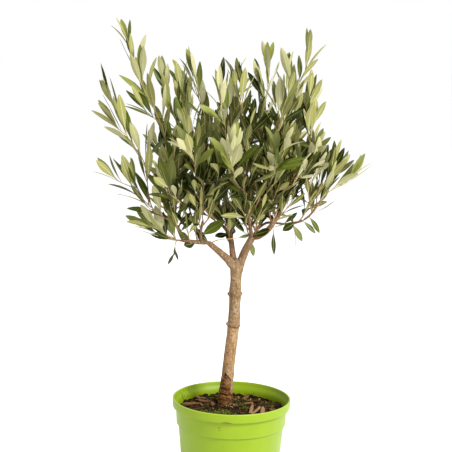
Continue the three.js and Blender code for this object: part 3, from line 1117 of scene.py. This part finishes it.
def hang_mass(name, seed, leaves):
    """A thread-like twig that hangs from the nearest wood with a few narrow leaves."""
    spray = Spray(name, seed)
    middles = [point for point, _ in spine(name, wood.array(), 5)]
    near = int(np.argmin(np.linalg.norm(wood.array() - np.array(middles[0]), axis=1)))
    origin = wood.points[near]
    down = (middles[-1] - middles[0]).normalized()
    end = middles[0].lerp(middles[-1], 0.35) if leaves > 1 else middles[0] + Vector((7, 0, 6)) * MM
    leave = ((middles[0] - origin).normalized() + wood.headings[near] * 0.4).normalized()
    path = Path(bow(origin, leave, end, down, 8), (0.7 * MM, 0.45 * MM))
    spray.add_twig(path, (0.2, 0.5))
    reach = (middles[-1] - end).length * (1.0 if leaves > 1 else 0.9)
    down = (middles[-1] - end).normalized()
    for k in range(leaves):
        foot, heading = path.at(path.length * (1 - 0.28 * k))
        side = heading.orthogonal().normalized()
        side.rotate(Matrix.Rotation(1.1 + k * 2.2, 3, heading))
        direction = down if leaves == 1 else (heading + side * 0.32).normalized()
        toward = Vector((0.4 * (-1) ** k, -1, 0.2))
        upper = (toward - direction * toward.dot(direction)).normalized()
        spray.add_leaf(foot, direction, upper, reach * (1.04 - 0.12 * k), ("deep", "dim"), 0.92)
    return spray


CORE = 0.52  # how far out the closed middle of the crown reaches


def fill_gaps(spray, seed, tries, habit, gap):
    """Short shoots from the nearest wood into the parts of a mass with no leaf nearer than a gap."""
    mass = crown.masses[spray.name]
    chance = random.Random(seed)
    for _ in range(tries):
        point = Vector([chance.uniform(mass.low[i], mass.high[i]) for i in range(3)])
        if mass.outside(point) > -9 * MM and crown.spread(point) > CORE:
            continue
        gaps = np.linalg.norm(np.array([tuple(foot) for foot in crown.feet]) - np.array(point), axis=1)
        if gaps.min() < gap:
            continue
        away = Vector((point.x - crown.middle.x, point.y - crown.middle.y, 0)) * 5
        rise = (UP + away).normalized()
        foot = point - rise * 22 * MM
        parent = wood.parent_for(foot, rise)
        origin, parent_heading = wood.points[parent], wood.headings[parent]
        leave = (parent_heading * 0.5 + (foot - origin).normalized()).normalized()
        curve = bow(origin, leave, point, rise, 7)
        length = Path(curve).length
        if length < 14 * MM:
            continue
        radius = min(wood.radii[parent] * 0.8, 0.8 * MM + 0.008 * length)
        path = Path(curve, (radius, 0.55 * MM))
        spray.add_twig(path)
        clothe(spray, path, max(6 * MM, length - 44 * MM), habit)


def grow_crown():
    """Every heart, then every spray out of the hearts, then shoots into what stayed empty."""
    sprays, habits = [], []
    for seed, name in enumerate(HEARTS + SPRAYS):
        if name == "hanging_right":
            continue
        low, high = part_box(name)
        size = (high - low).length
        if name.startswith("hanging"):
            sprays.append(hang_mass(name, 100 + seed, 3 if name == "hanging_left" else 1))
            habits.append(None)
            continue
        if name in HEARTS:
            habit, laterals = INNER, 10
        elif size > 170 * MM:
            habit, laterals = TALL, 2 if name.startswith("left") else 1
        else:
            habit, laterals = OUTER, 1 if "top" in name or size < 110 * MM else 2
        if name.endswith("_arm"):
            habit = TALL
        if "top" in name or "high" in name:
            habit, laterals = CREST, 1
        habits.append(habit)
        sprays.append(grow_mass(name, 100 + seed, laterals, habit))
    for seed, (spray, habit) in enumerate(zip(sprays, habits)):
        if habit is INNER:
            fill_gaps(spray, 500 + seed, 500, habit, 21 * MM)
        elif habit is OUTER:
            fill_gaps(spray, 500 + seed, 300, habit, 27 * MM)
    for spray in sprays:
        spray.leaf_object([spray.name])
        spray.twig_object()


# Single leaves that stand on the bare limbs below the crown: the limb, how far along it, the
# compass turn of the leaf from the tree's right, its rise above level, its length and width, and
# the tones of its two faces. A width below zero turns the under face to the front.
LIMB_LEAVES = [
    ("front_riser", 0.16, -16, 12, 34, 16, "deep", "sage"),
    ("inner_left_riser", 0.28, -8, 38, 44, 18, "green", "sage"),
    ("left_bough_lower", 0.93, 190, 35, 24, 15, "deep", "sage"),
    ("left_bough_lower", 0.96, 190, 50, 34, 11, "deep", "sage"),
    ("centre_bough", 0.62, 219, -9, 33, 11, "deep", "sage"),
    ("centre_bough", 0.80, -80, -70, 34, 13, "deep", "dim"),
    ("centre_bough", 0.95, -17, -43, 38, 12, "deep", "dim"),
    ("centre_bough", 0.34, 60, -66, 22, -7, "grey", "sage"),
    ("left_bough_outer", 0.44, 200, -18, 23, 14, "deep", "sage"),
    ("left_bough_outer", 0.62, 203, 37, 28, 9, "olive", "sage"),
    ("left_riser", 0.35, 30, 40, 38, 10, "green", "sage"),
    ("left_riser", 0.60, 335, 44, 36, 10, "deep", "sage"),
    ("right_bough_lower", 0.90, 40, -68, 29, 9, "grey", "sage"),
    ("low_right_twig", 0.82, 202, -25, 24, 13, "deep", "sage"),
    ("low_right_twig", 0.78, 200, 60, 13, 6, "deep", "sage"),
    ("low_right_twig", 0.76, -11, -58, 32, 10, "grey", "sage"),
    ("low_right_twig", 0.98, -11, -38, 29, 8, "olive", "sage"),
    ("low_right_twig_end", 0.35, 9, -51, 34, 9, "olive", "sage"),
    ("low_right_twig", 0.45, 160, 42, 26, 8, "olive", "sage"),
    ("low_right_twig", 0.58, 20, 35, 28, 8, "deep", "sage"),
    ("front_riser", 0.45, 190, 52, 40, 11, "deep", "sage"),
    ("front_riser", 0.70, 15, 48, 44, 11, "olive", "sage"),
    ("back_riser", 0.40, 200, 35, 42, 11, "deep", "dim"),
    ("crossing_riser", 0.50, 30, 45, 40, 10, "grey", "sage"),
]
# Thin bare or nearly bare shoots on the limbs: the limb, how far along it, compass turn, rise and
# length, and the leaves at its tip with their own compass turn, rise, length, width and tones.
LIMB_SHOOTS = [
    ("left_bough_outer", 0.93, 186, 5, 30, [
        (196, 76, 54, -15, "grey", "cream"), (176, 84, 43, 9, "deep", "sage"),
        (181, 42, 42, 10, "deep", "sage"), (230, 20, 40, 10, "deep", "sage")]),
    ("low_right_twig", 0.74, -30, -76, 38, []),
    ("left_bough_lower", 0.93, 8, 12, 44, [(10, 14, 20, 6, "grey", "sage")]),
    ("right_bough_outer", 0.55, -40, 62, 34, [
        (20, 55, 34, 9, "deep", "sage"), (200, 60, 32, 9, "olive", "sage")]),
]
# The limbs that bear short leafy sprigs, how far along each they start, and the spacing of the sprigs.
SPRIG_LIMBS = {
    "right_bough_lower": (0.92, 16),
    "centre_bough": (0.46, 9),
    "left_bough_outer": (0.40, 8),
    "left_riser": (0.25, 7),
    "inner_left_riser": (0.30, 7),
    "right_bough_outer": (0.40, 9),
    "right_bough_upper": (0.15, 8),
    "front_riser": (0.30, 7),
    "back_riser": (0.15, 7),
    "crossing_riser": (0.15, 8),
    "back_left_riser": (0.25, 8),
    "low_right_twig": (0.90, 17),
    "low_right_twig_end": (0.30, 11),
}


def way_of(compass, rise):
    """The direction with a compass turn from the tree's right and a rise above level, in degrees."""
    turn, lift = math.radians(compass), math.radians(rise)
    return Vector((math.cos(turn) * math.cos(lift), math.sin(turn) * math.cos(lift), math.sin(lift)))


def lay_leaf(spray, foot, compass, rise, length, width, tones):
    """One leaf that lies as it is told, with a broad face to the front."""
    direction = way_of(compass, rise)
    toward = Vector((0.1, -0.75, 0.65)) * math.copysign(1, width)
    upper = (toward - direction * toward.dot(direction)).normalized()
    slim = abs(width) / (LEAF_SHARE * length)
    spray.add_leaf(foot, direction, upper, length * MM, tones, slim)


def grow_limb_leaves():
    """Leaves on the bare limbs, and short leafy sprigs that rise from them."""
    spray, hanging = Spray("limb", 7), Spray("hanging_right", 8)
    chance = spray.chance
    for limb, share, compass, rise, length, width, upper_tone, under_tone in LIMB_LEAVES:
        foot, _ = limb_paths[limb].at(limb_paths[limb].length * share)
        bearer = hanging if limb.startswith("low_right") else spray
        lay_leaf(bearer, foot, compass, rise, length, width, (upper_tone, under_tone))
    for limb, share, compass, rise, length, leaves in LIMB_SHOOTS:
        foot, heading = limb_paths[limb].at(limb_paths[limb].length * share)
        way = way_of(compass, rise)
        curve = bow(foot, (heading + way * 2).normalized(), foot + way * length * MM, way, 6)
        shoot = Path(curve, (0.9 * MM, 0.5 * MM))
        bearer = hanging if limb.startswith("low_right") else spray
        bearer.add_twig(shoot, (0.3, 0.7))
        for index, (*lie, upper_tone, under_tone) in enumerate(leaves):
            lay_leaf(spray, shoot.at(shoot.length * (1 - 0.12 * index))[0], *lie, (upper_tone, under_tone))
    for limb, (start, spacing) in SPRIG_LIMBS.items():
        path = limb_paths[limb]
        mark = path.length * start
        azimuth = chance.uniform(0, math.tau)
        while mark < path.length - 4 * MM:
            foot, heading = path.at(mark)
            mark += spacing * chance.uniform(0.7, 1.3) * MM
            azimuth += 2.4 + chance.gauss(0, 0.3)
            side = heading.orthogonal().normalized()
            side.rotate(Matrix.Rotation(azimuth, 3, heading))
            away = (heading * 0.5 + side + UP * 0.75).normalized()
            length = chance.uniform(16, 52) * MM
            tip = foot + (away + UP * 0.3).normalized() * length
            shoot = Path(bow(foot, away, tip, (away + UP * 0.6).normalized(), 5), (1.25 * MM, 0.6 * MM))
            spray.add_twig(shoot, (0.45, 1.0))
            clothe(spray, shoot, min(9 * MM, 0.4 * length), SPRIG, False)
    spray.leaf_object()
    spray.twig_object()
    hanging.leaf_object(["hanging_right"])
    hanging.twig_object()


# ---------------------------------------------------------------- pot and soil

BAND = 14 * MM  # depth of the rim band's lower edge below the rim
COLLAR = 41 * MM  # depth of the collar's lower edge
POT_SEGMENTS = 144
DRAIN_HOLES = 4
DRAIN_CIRCLE = 44 * MM
DRAIN_RADIUS = 4.5 * MM


def pot_inside(below):
    """Radius of the pot's inner face at a depth below the rim."""
    if below < BAND:
        return RIM_RADIUS - 3 * MM - 4.6 * MM * below / BAND
    if below < COLLAR:
        return RIM_RADIUS - 7.6 * MM - 1.4 * MM * (below - BAND) / (COLLAR - BAND)
    return RIM_RADIUS - 11.9 * MM - 13 * MM * (below - COLLAR) / (RIM_HEIGHT - COLLAR)


def wire(shape, points):
    """Joined edges through points given as radius and height."""
    verts = [shape.verts.new((radius, 0, height)) for radius, height in points]
    return verts, [shape.edges.new(pair) for pair in zip(verts, verts[1:])]


def spin_round(shape, edges, steps):
    bmesh.ops.spin(shape, geom=edges, cent=(0, 0, 0), axis=(0, 0, 1), angle=math.tau, steps=steps,
                   use_merge=True)
    bmesh.ops.remove_doubles(shape, verts=shape.verts, dist=0.01 * MM)
    bmesh.ops.recalc_face_normals(shape, faces=shape.faces)


def make_pot():
    """The pot's wall, spun from its section, with every rim and step rounded."""
    foot = RIM_RADIUS - 23 * MM
    top, band_foot, collar_foot = RIM_HEIGHT, RIM_HEIGHT - BAND, RIM_HEIGHT - COLLAR
    collar_top, collar_low = RIM_RADIUS - 5.7 * MM, RIM_RADIUS - 7.1 * MM
    floor = 2.6 * MM
    section = [
        (0, 0.8 * MM),
        (foot - 9 * MM, 0.8 * MM),
        (foot - 8 * MM, 0),
        (foot, 0),
        (RIM_RADIUS - 10 * MM, collar_foot - 2 * MM),
        (collar_low, collar_foot),
        (collar_top, band_foot),
        (RIM_RADIUS - 0.8 * MM, band_foot),
        (RIM_RADIUS, top),
        (RIM_RADIUS - 2.8 * MM, top),
        (RIM_RADIUS - 4.2 * MM, top - 6 * MM),
        (collar_top - 1.9 * MM, band_foot + 1 * MM),
        (collar_top - 2.6 * MM, band_foot - 9 * MM),
        (collar_low - 1.9 * MM, collar_foot + 2 * MM),
        (RIM_RADIUS - 11.9 * MM, collar_foot - 4 * MM),
        (foot - 1.9 * MM, floor),
        (0, floor),
    ]
    shape = bmesh.new()
    verts, _ = wire(shape, section)
    rounded = {1: 0.3, 2: 0.3, 3: 1.2, 4: 1.2, 5: 0.9, 6: 0.7, 7: 0.8, 8: 1.2, 9: 0.9, 10: 2.4,
               11: 3, 12: 3, 13: 3, 14: 2, 15: 2.5}
    for index, radius in rounded.items():
        bmesh.ops.bevel(shape, geom=[verts[index]], offset=radius * MM, segments=4, profile=0.5,
                        affect="VERTICES", offset_type="OFFSET", material=-1)
    spin_round(shape, shape.verts[:] + shape.edges[:], POT_SEGMENTS)
    pot = object_from("plant_pot", shape)
    drill_shape = bmesh.new()
    for k in range(DRAIN_HOLES):
        angle = math.tau * (k + 0.5) / DRAIN_HOLES
        spot = Matrix.Translation((DRAIN_CIRCLE * math.cos(angle), DRAIN_CIRCLE * math.sin(angle), 0))
        bmesh.ops.create_cone(drill_shape, cap_ends=True, segments=28, radius1=DRAIN_RADIUS,
                              radius2=DRAIN_RADIUS, depth=14 * MM, matrix=spot)
    drill = object_from("drill", drill_shape)
    holes = pot.modifiers.new("holes", "BOOLEAN")
    holes.operation = "DIFFERENCE"
    holes.solver = "EXACT"
    holes.object = drill
    settle_modifiers(pot)
    bpy.data.objects.remove(drill)
    drilled = pot.data
    smooth_over(drilled)
    drilled.set_sharp_from_angle(angle=math.radians(40))
    drilled.materials.clear()
    drilled.materials.append(lime_plastic())
    inside = []
    for vert in drilled.vertices:
        wall = pot_inside(RIM_HEIGHT - vert.co.z) + 0.5 * MM
        inside.append(float(math.hypot(vert.co.x, vert.co.y) < wall))
    drilled.attributes.new("inside", "FLOAT", "POINT").data.foreach_set("value", inside)
    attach(pot, "root")
    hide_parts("pot")


STEM_FOOT = Vector((0, 0, 0))
SOIL_EDGE = GROUND - 8 * MM


def soil_height(x, y):
    """Height of the soil's surface: a low mound round the stem, rough with clods."""
    away = math.hypot(x - STEM_FOOT.x, y - STEM_FOOT.y)
    rest = min(max((away - 12 * MM) / (72 * MM), 0), 1)
    mound = 8 * MM * (1 - rest * rest * (3 - 2 * rest))
    rough = noise.fractal(Vector((x, y, 0.3)) * 120, 0.9, 2.1, 4) * 1.3 * MM
    rough += noise.noise(Vector((x, y, 0.9)) * 420) * 0.8 * MM
    rough += noise.noise(Vector((x, y, 5.0)) * 45) * 1.3 * MM
    return SOIL_EDGE + mound + rough


def make_soil():
    """The soil as one closed body with a rough, mounded top."""
    edge = pot_inside(RIM_HEIGHT - SOIL_EDGE) - 0.7 * MM
    shape = bmesh.new()
    rings = 64
    collar_foot = RIM_HEIGHT - COLLAR
    section = [
        (0, 4 * MM),
        (RIM_RADIUS - 26 * MM, 4 * MM),
        (RIM_RADIUS - 13.5 * MM, collar_foot - 8 * MM),
        (RIM_RADIUS - 10.6 * MM, collar_foot + 5 * MM),
    ]
    section += [(edge * (1 - k / rings), SOIL_EDGE) for k in range(rings + 1)]
    wire(shape, section)
    spin_round(shape, shape.verts[:] + shape.edges[:], 224)
    for vert in shape.verts:
        if vert.co.z > SOIL_EDGE - 0.1 * MM:
            vert.co.z = soil_height(vert.co.x, vert.co.y)
    soil = object_from("soil_fill", shape)
    smooth_over(soil.data)
    soil.data.materials.append(potting_soil())
    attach(soil, "root")
    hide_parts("soil")


def flake_form(seed, length, width, thick, ragged):
    """A torn sliver of bark, lying along X."""
    shape = bmesh.new()
    bmesh.ops.create_cube(shape, size=1)
    along = [edge for edge in shape.edges if abs(edge.verts[0].co.x - edge.verts[1].co.x) > 0.5]
    bmesh.ops.subdivide_edges(shape, edges=along, cuts=2)
    for vert in shape.verts:
        end = 1 - 0.45 * abs(vert.co.x * 2) ** 3
        spot = vert.co * 1.7 + Vector((seed, 0, 0))
        shift = Vector([noise.noise(spot + UP * 9.3 * k) for k in range(3)]) * ragged
        vert.co = Vector((vert.co.x * length, vert.co.y * width * end, vert.co.z * thick))
        vert.co += Vector((shift.x * length * 0.3, shift.y * width * 0.6, shift.z * thick * 0.9))
    bmesh.ops.bevel(shape, geom=shape.edges[:], offset=thick * 0.16, segments=1, profile=0.5,
                    affect="EDGES", offset_type="OFFSET", material=-1)
    return freeze(shape)


def clod_form(seed):
    shape = bmesh.new()
    bmesh.ops.create_icosphere(shape, subdivisions=1, radius=0.5)
    for vert in shape.verts:
        vert.co *= 1 + 0.7 * noise.noise(vert.co * 2.1 + Vector((0, seed, 0)))
    return freeze(shape)


def freeze(shape):
    shape.verts.index_update()
    points = np.array([tuple(vert.co) for vert in shape.verts])
    faces = [tuple(vert.index for vert in face.verts) for face in shape.faces]
    shape.free()
    return points, faces


def scatter(name, placed, materials, sharp_angle):
    """Joins copies of small forms: each is its form, the matrix that places it, and its tone."""
    points, faces, slots = [], [], []
    total = 0
    for (shape, polygons), matrix, tone in placed:
        turn = np.array(matrix.to_3x3())
        points.append(shape @ turn.T + np.array(matrix.translation))
        faces += [tuple(index + total for index in polygon) for polygon in polygons]
        slots += [tone] * len(polygons)
        total += len(shape)
    piece = joined_piece(name, np.concatenate(points), faces, slots, materials, sharp_angle)
    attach(piece, "root")


def on_soil(x, y, sunk, turn, tip, size):
    """A matrix that lays a small thing on the soil."""
    spot = Matrix.Translation((x, y, soil_height(x, y) + sunk))
    facing = Matrix.Rotation(turn, 4, "Z") @ Matrix.Rotation(tip, 4, "Y")
    return spot @ facing @ Matrix.Diagonal((*size, 1))


def soil_spot(chance, most=84 * MM):
    """A random place on the soil, clear of the stem."""
    while True:
        radius, angle = most * math.sqrt(chance.random()), chance.uniform(0, math.tau)
        x, y = radius * math.cos(angle), radius * math.sin(angle)
        if math.hypot(x - STEM_FOOT.x, y - STEM_FOOT.y) > 12.5 * MM:
            return x, y


PALE = 3  # the last of the crumbs' tones


def make_litter():
    """Bark chips, crumbs of soil and cushions of moss on the soil."""
    chance = random.Random(23)
    flakes = [flake_form(seed, 1, 0.34, 0.14, 0.8) for seed in (3, 8, 15, 27)]
    chips = []
    # The large chips: place, turn and tip in degrees, and length, width and thickness.
    large = [
        ((-64, 12), 12, 2, (34, 9, 3.2), 1), ((-58, -14), 20, -4, (30, 9, 3.4), 0),
        ((-42, 22), 5, 3, (22, 6, 3), 1), ((-30, -1), 60, 10, (8, 7, 5), 1),
        ((27, 8), -30, -14, (17, 6.0, 3), 2), ((32, -20), 66, -52, (14, 6, 3), 2),
        ((39, -23), 30, -34, (18, 5, 3), 2), ((50, -25), 84, -74, (14, 7, 3), 2),
        ((66, 2), -12, 4, (10, 5, 2.4), 1), ((36, 34), 8, 0, (24, 5, 2.4), 0),
        ((64, -8), 100, 20, (9, 5, 2.4), 1), ((18, -34), 30, 5, (10, 5, 2.4), 0),
        ((-20, 48), -30, 5, (24, 7, 3), 0), ((24, 62), 70, 0, (22, 8, 3), 1),
        ((-50, 50), 130, 4, (26, 8, 3), 2), ((-8, -62), 10, 3, (20, 7, 3), 1),
    ]
    for (x, y), turn, tip, (length, width, thick), tone in large:
        size = (length * MM, width * 2.6 * MM, thick * 6.5 * MM)
        lift = 1.2 * MM + abs(math.sin(math.radians(tip))) * length * 0.32 * MM
        chips.append((flakes[len(chips) % 4],
                      on_soil(x * MM, y * MM, lift, math.radians(turn), math.radians(tip), size), tone))
    for _ in range(150):
        x, y = soil_spot(chance)
        length = chance.uniform(2.5, 8) * MM
        size = (length, length * chance.uniform(0.7, 1.3), length * chance.uniform(0.8, 1.6))
        turn, tip = chance.uniform(0, math.tau), chance.gauss(0, 0.3)
        form = chance.choice(flakes)
        chips.append((form, on_soil(x, y, 0.6 * MM, turn, tip, size), chance.choice([0, 0, 1, 2, 3])))
    tones = [
        plain("bark_chip_brown", (0.050, 0.022, 0.008), 0.9, Specular_IOR_Level=0.05),
        plain("bark_chip_red", (0.125, 0.058, 0.023), 0.9, Specular_IOR_Level=0.05),
        plain("bark_chip_pale", (0.240, 0.135, 0.068), 0.9, Specular_IOR_Level=0.05),
        plain("bark_chip_dark", (0.016, 0.009, 0.004), 0.9, Specular_IOR_Level=0.05),
    ]
    scatter("bark_chips", chips, tones, 30)

    clods = [clod_form(seed) for seed in (1, 5, 9, 14, 22)]
    crumbs = []
    for _ in range(2600):
        x, y = soil_spot(chance)
        size = chance.uniform(0.8, 2.6) * MM * (1.7 if chance.random() < 0.06 else 1)
        form = chance.choice(clods)
        turn, tip = chance.uniform(0, 6.28), chance.uniform(0, 3)
        form_size = (size, size * chance.uniform(0.7, 1), size * 0.8)
        tone = chance.choice([0, 0, 0, 1, 1, 2])
        crumbs.append((form, on_soil(x, y, size * 0.2, turn, tip, form_size), tone))
    # Clods heaped against the wall, and pale grit at the stem's foot.
    for _ in range(210):
        angle = chance.uniform(0, math.tau)
        radius = chance.uniform(76, 84) * MM
        size = chance.uniform(3, 9.5) * MM
        x, y = radius * math.cos(angle), radius * math.sin(angle)
        form = chance.choice(clods)
        tip = chance.uniform(0, 3)
        form_size = (size, size, size * 0.8)
        crumbs.append((form, on_soil(x, y, 0.6 * MM, angle, tip, form_size), chance.choice([0, 0, 1])))
    for _ in range(16):
        angle = chance.uniform(-1.5, 0.0)
        radius = chance.uniform(11, 22) * MM
        x, y = STEM_FOOT.x + radius * math.cos(angle), STEM_FOOT.y + radius * math.sin(angle)
        size = chance.uniform(1.0, 2.4) * MM
        crumbs.append((chance.choice(clods), on_soil(x, y, size * 0.3, angle, 0, (size, size, size)), PALE))
    tones = [
        plain("soil_crumb_dark", (0.010, 0.006, 0.0025), 0.95, Specular_IOR_Level=0.05),
        plain("soil_crumb_brown", (0.028, 0.016, 0.006), 0.95, Specular_IOR_Level=0.05),
        plain("soil_crumb_tan", (0.100, 0.060, 0.024), 0.9, Specular_IOR_Level=0.05),
        plain("soil_crumb_pale", (0.300, 0.210, 0.120), 0.85, Specular_IOR_Level=0.05),
    ]
    scatter("soil_crumbs", crumbs, tones, 35)

    # Moss grows in low cushions: their centres, and their half length and half width.
    cushions = [
        ((-30, -38), (30, 15)), ((-10, -30), (16, 9)), ((-48, -24), (14, 7)), ((17, 8), (9, 9)),
        ((40, 40), (24, 6)), ((24, -8), (8, 7)), ((-30, 46), (14, 10)), ((66, 22), (9, 8)),
        ((-4, 62), (12, 8)),
    ]
    tufts = []
    for (x, y), (half_length, half_width) in cushions:
        for _ in range(round(half_length * half_width * (1.9))):
            px = (x + chance.gauss(0, 0.42) * half_length) * MM
            py = (y + chance.gauss(0, 0.42) * half_width) * MM
            if math.hypot(px, py) > 84 * MM or math.hypot(px - STEM_FOOT.x, py - STEM_FOOT.y) < 12 * MM:
                continue
            size = chance.uniform(0.8, 2.0) * MM
            form = chance.choice(clods)
            turn = chance.uniform(0, 6.28)
            form_size = (size * 0.8, size * 0.8, size * 1.5)
            tone = chance.choice([0, 0, 1, 2])
            tufts.append((form, on_soil(px, py, size * 0.25, turn, 0, form_size), tone))
    tones = [
        plain("moss_green", (0.054, 0.068, 0.006), 0.9, Specular_IOR_Level=0.05),
        plain("moss_dark", (0.018, 0.026, 0.003), 0.9, Specular_IOR_Level=0.05),
        plain("moss_yellow", (0.150, 0.150, 0.018), 0.9, Specular_IOR_Level=0.05),
    ]
    scatter("moss", tufts, tones, 50)


# ---------------------------------------------------------------- stage


def make_stage():
    """A plain pale floor and soft daylight, with the stronger light from the right."""
    shape = bmesh.new()
    bmesh.ops.create_grid(shape, x_segments=1, y_segments=1, size=30)
    floor = object_from("floor", shape)
    floor.data.materials.append(plain("pale_floor", (1, 1, 1), 0.95, Specular_IOR_Level=0.1))
    scene = bpy.context.scene
    scene.view_settings.view_transform = "Standard"
    world = bpy.data.worlds.new("daylight")
    world.use_nodes = True
    world.node_tree.nodes["Background"].inputs["Color"].default_value = (1, 1, 1, 1)
    world.node_tree.nodes["Background"].inputs["Strength"].default_value = 1.0
    scene.world = world
    lights = [
        ("key", (1.40, -1.42, 1.85), 0.85, 106),
        ("top", (0.1, -0.3, 2.4), 1.2, 10),
    ]
    for name, place, size, power in lights:
        data = bpy.data.lights.new(name, "AREA")
        data.shape = "DISK"
        data.size = size
        data.energy = power
        light = object_of(name, data)
        light.location = place
        light.rotation_euler = (Vector((0, 0, 0.45)) - Vector(place)).to_track_quat("-Z", "Y").to_euler()


def make_camera():
    """A long lens in front of the tree, a little above its pot, looking slightly down."""
    data = bpy.data.cameras.new("camera")
    data.sensor_width = 36
    data.lens = 97.4
    data.clip_end = 100
    camera = object_of("camera", data)
    camera.location = (-0.0149, -1.9, RIM_HEIGHT + 0.5705)
    tilt = Matrix.Rotation(math.radians(90 - 8.75), 4, "X")
    roll = Matrix.Rotation(math.radians(1.27), 4, "Z")
    camera.rotation_euler = (tilt @ roll).to_euler()
    bpy.context.scene.camera = camera


make_camera()
make_stage()
read_limbs()
STEM_FOOT = limb_paths["trunk"].points[0]
make_pot()
make_soil()
make_litter()
carve_bark(bark_blank())
grow_limb_leaves()
grow_crown()
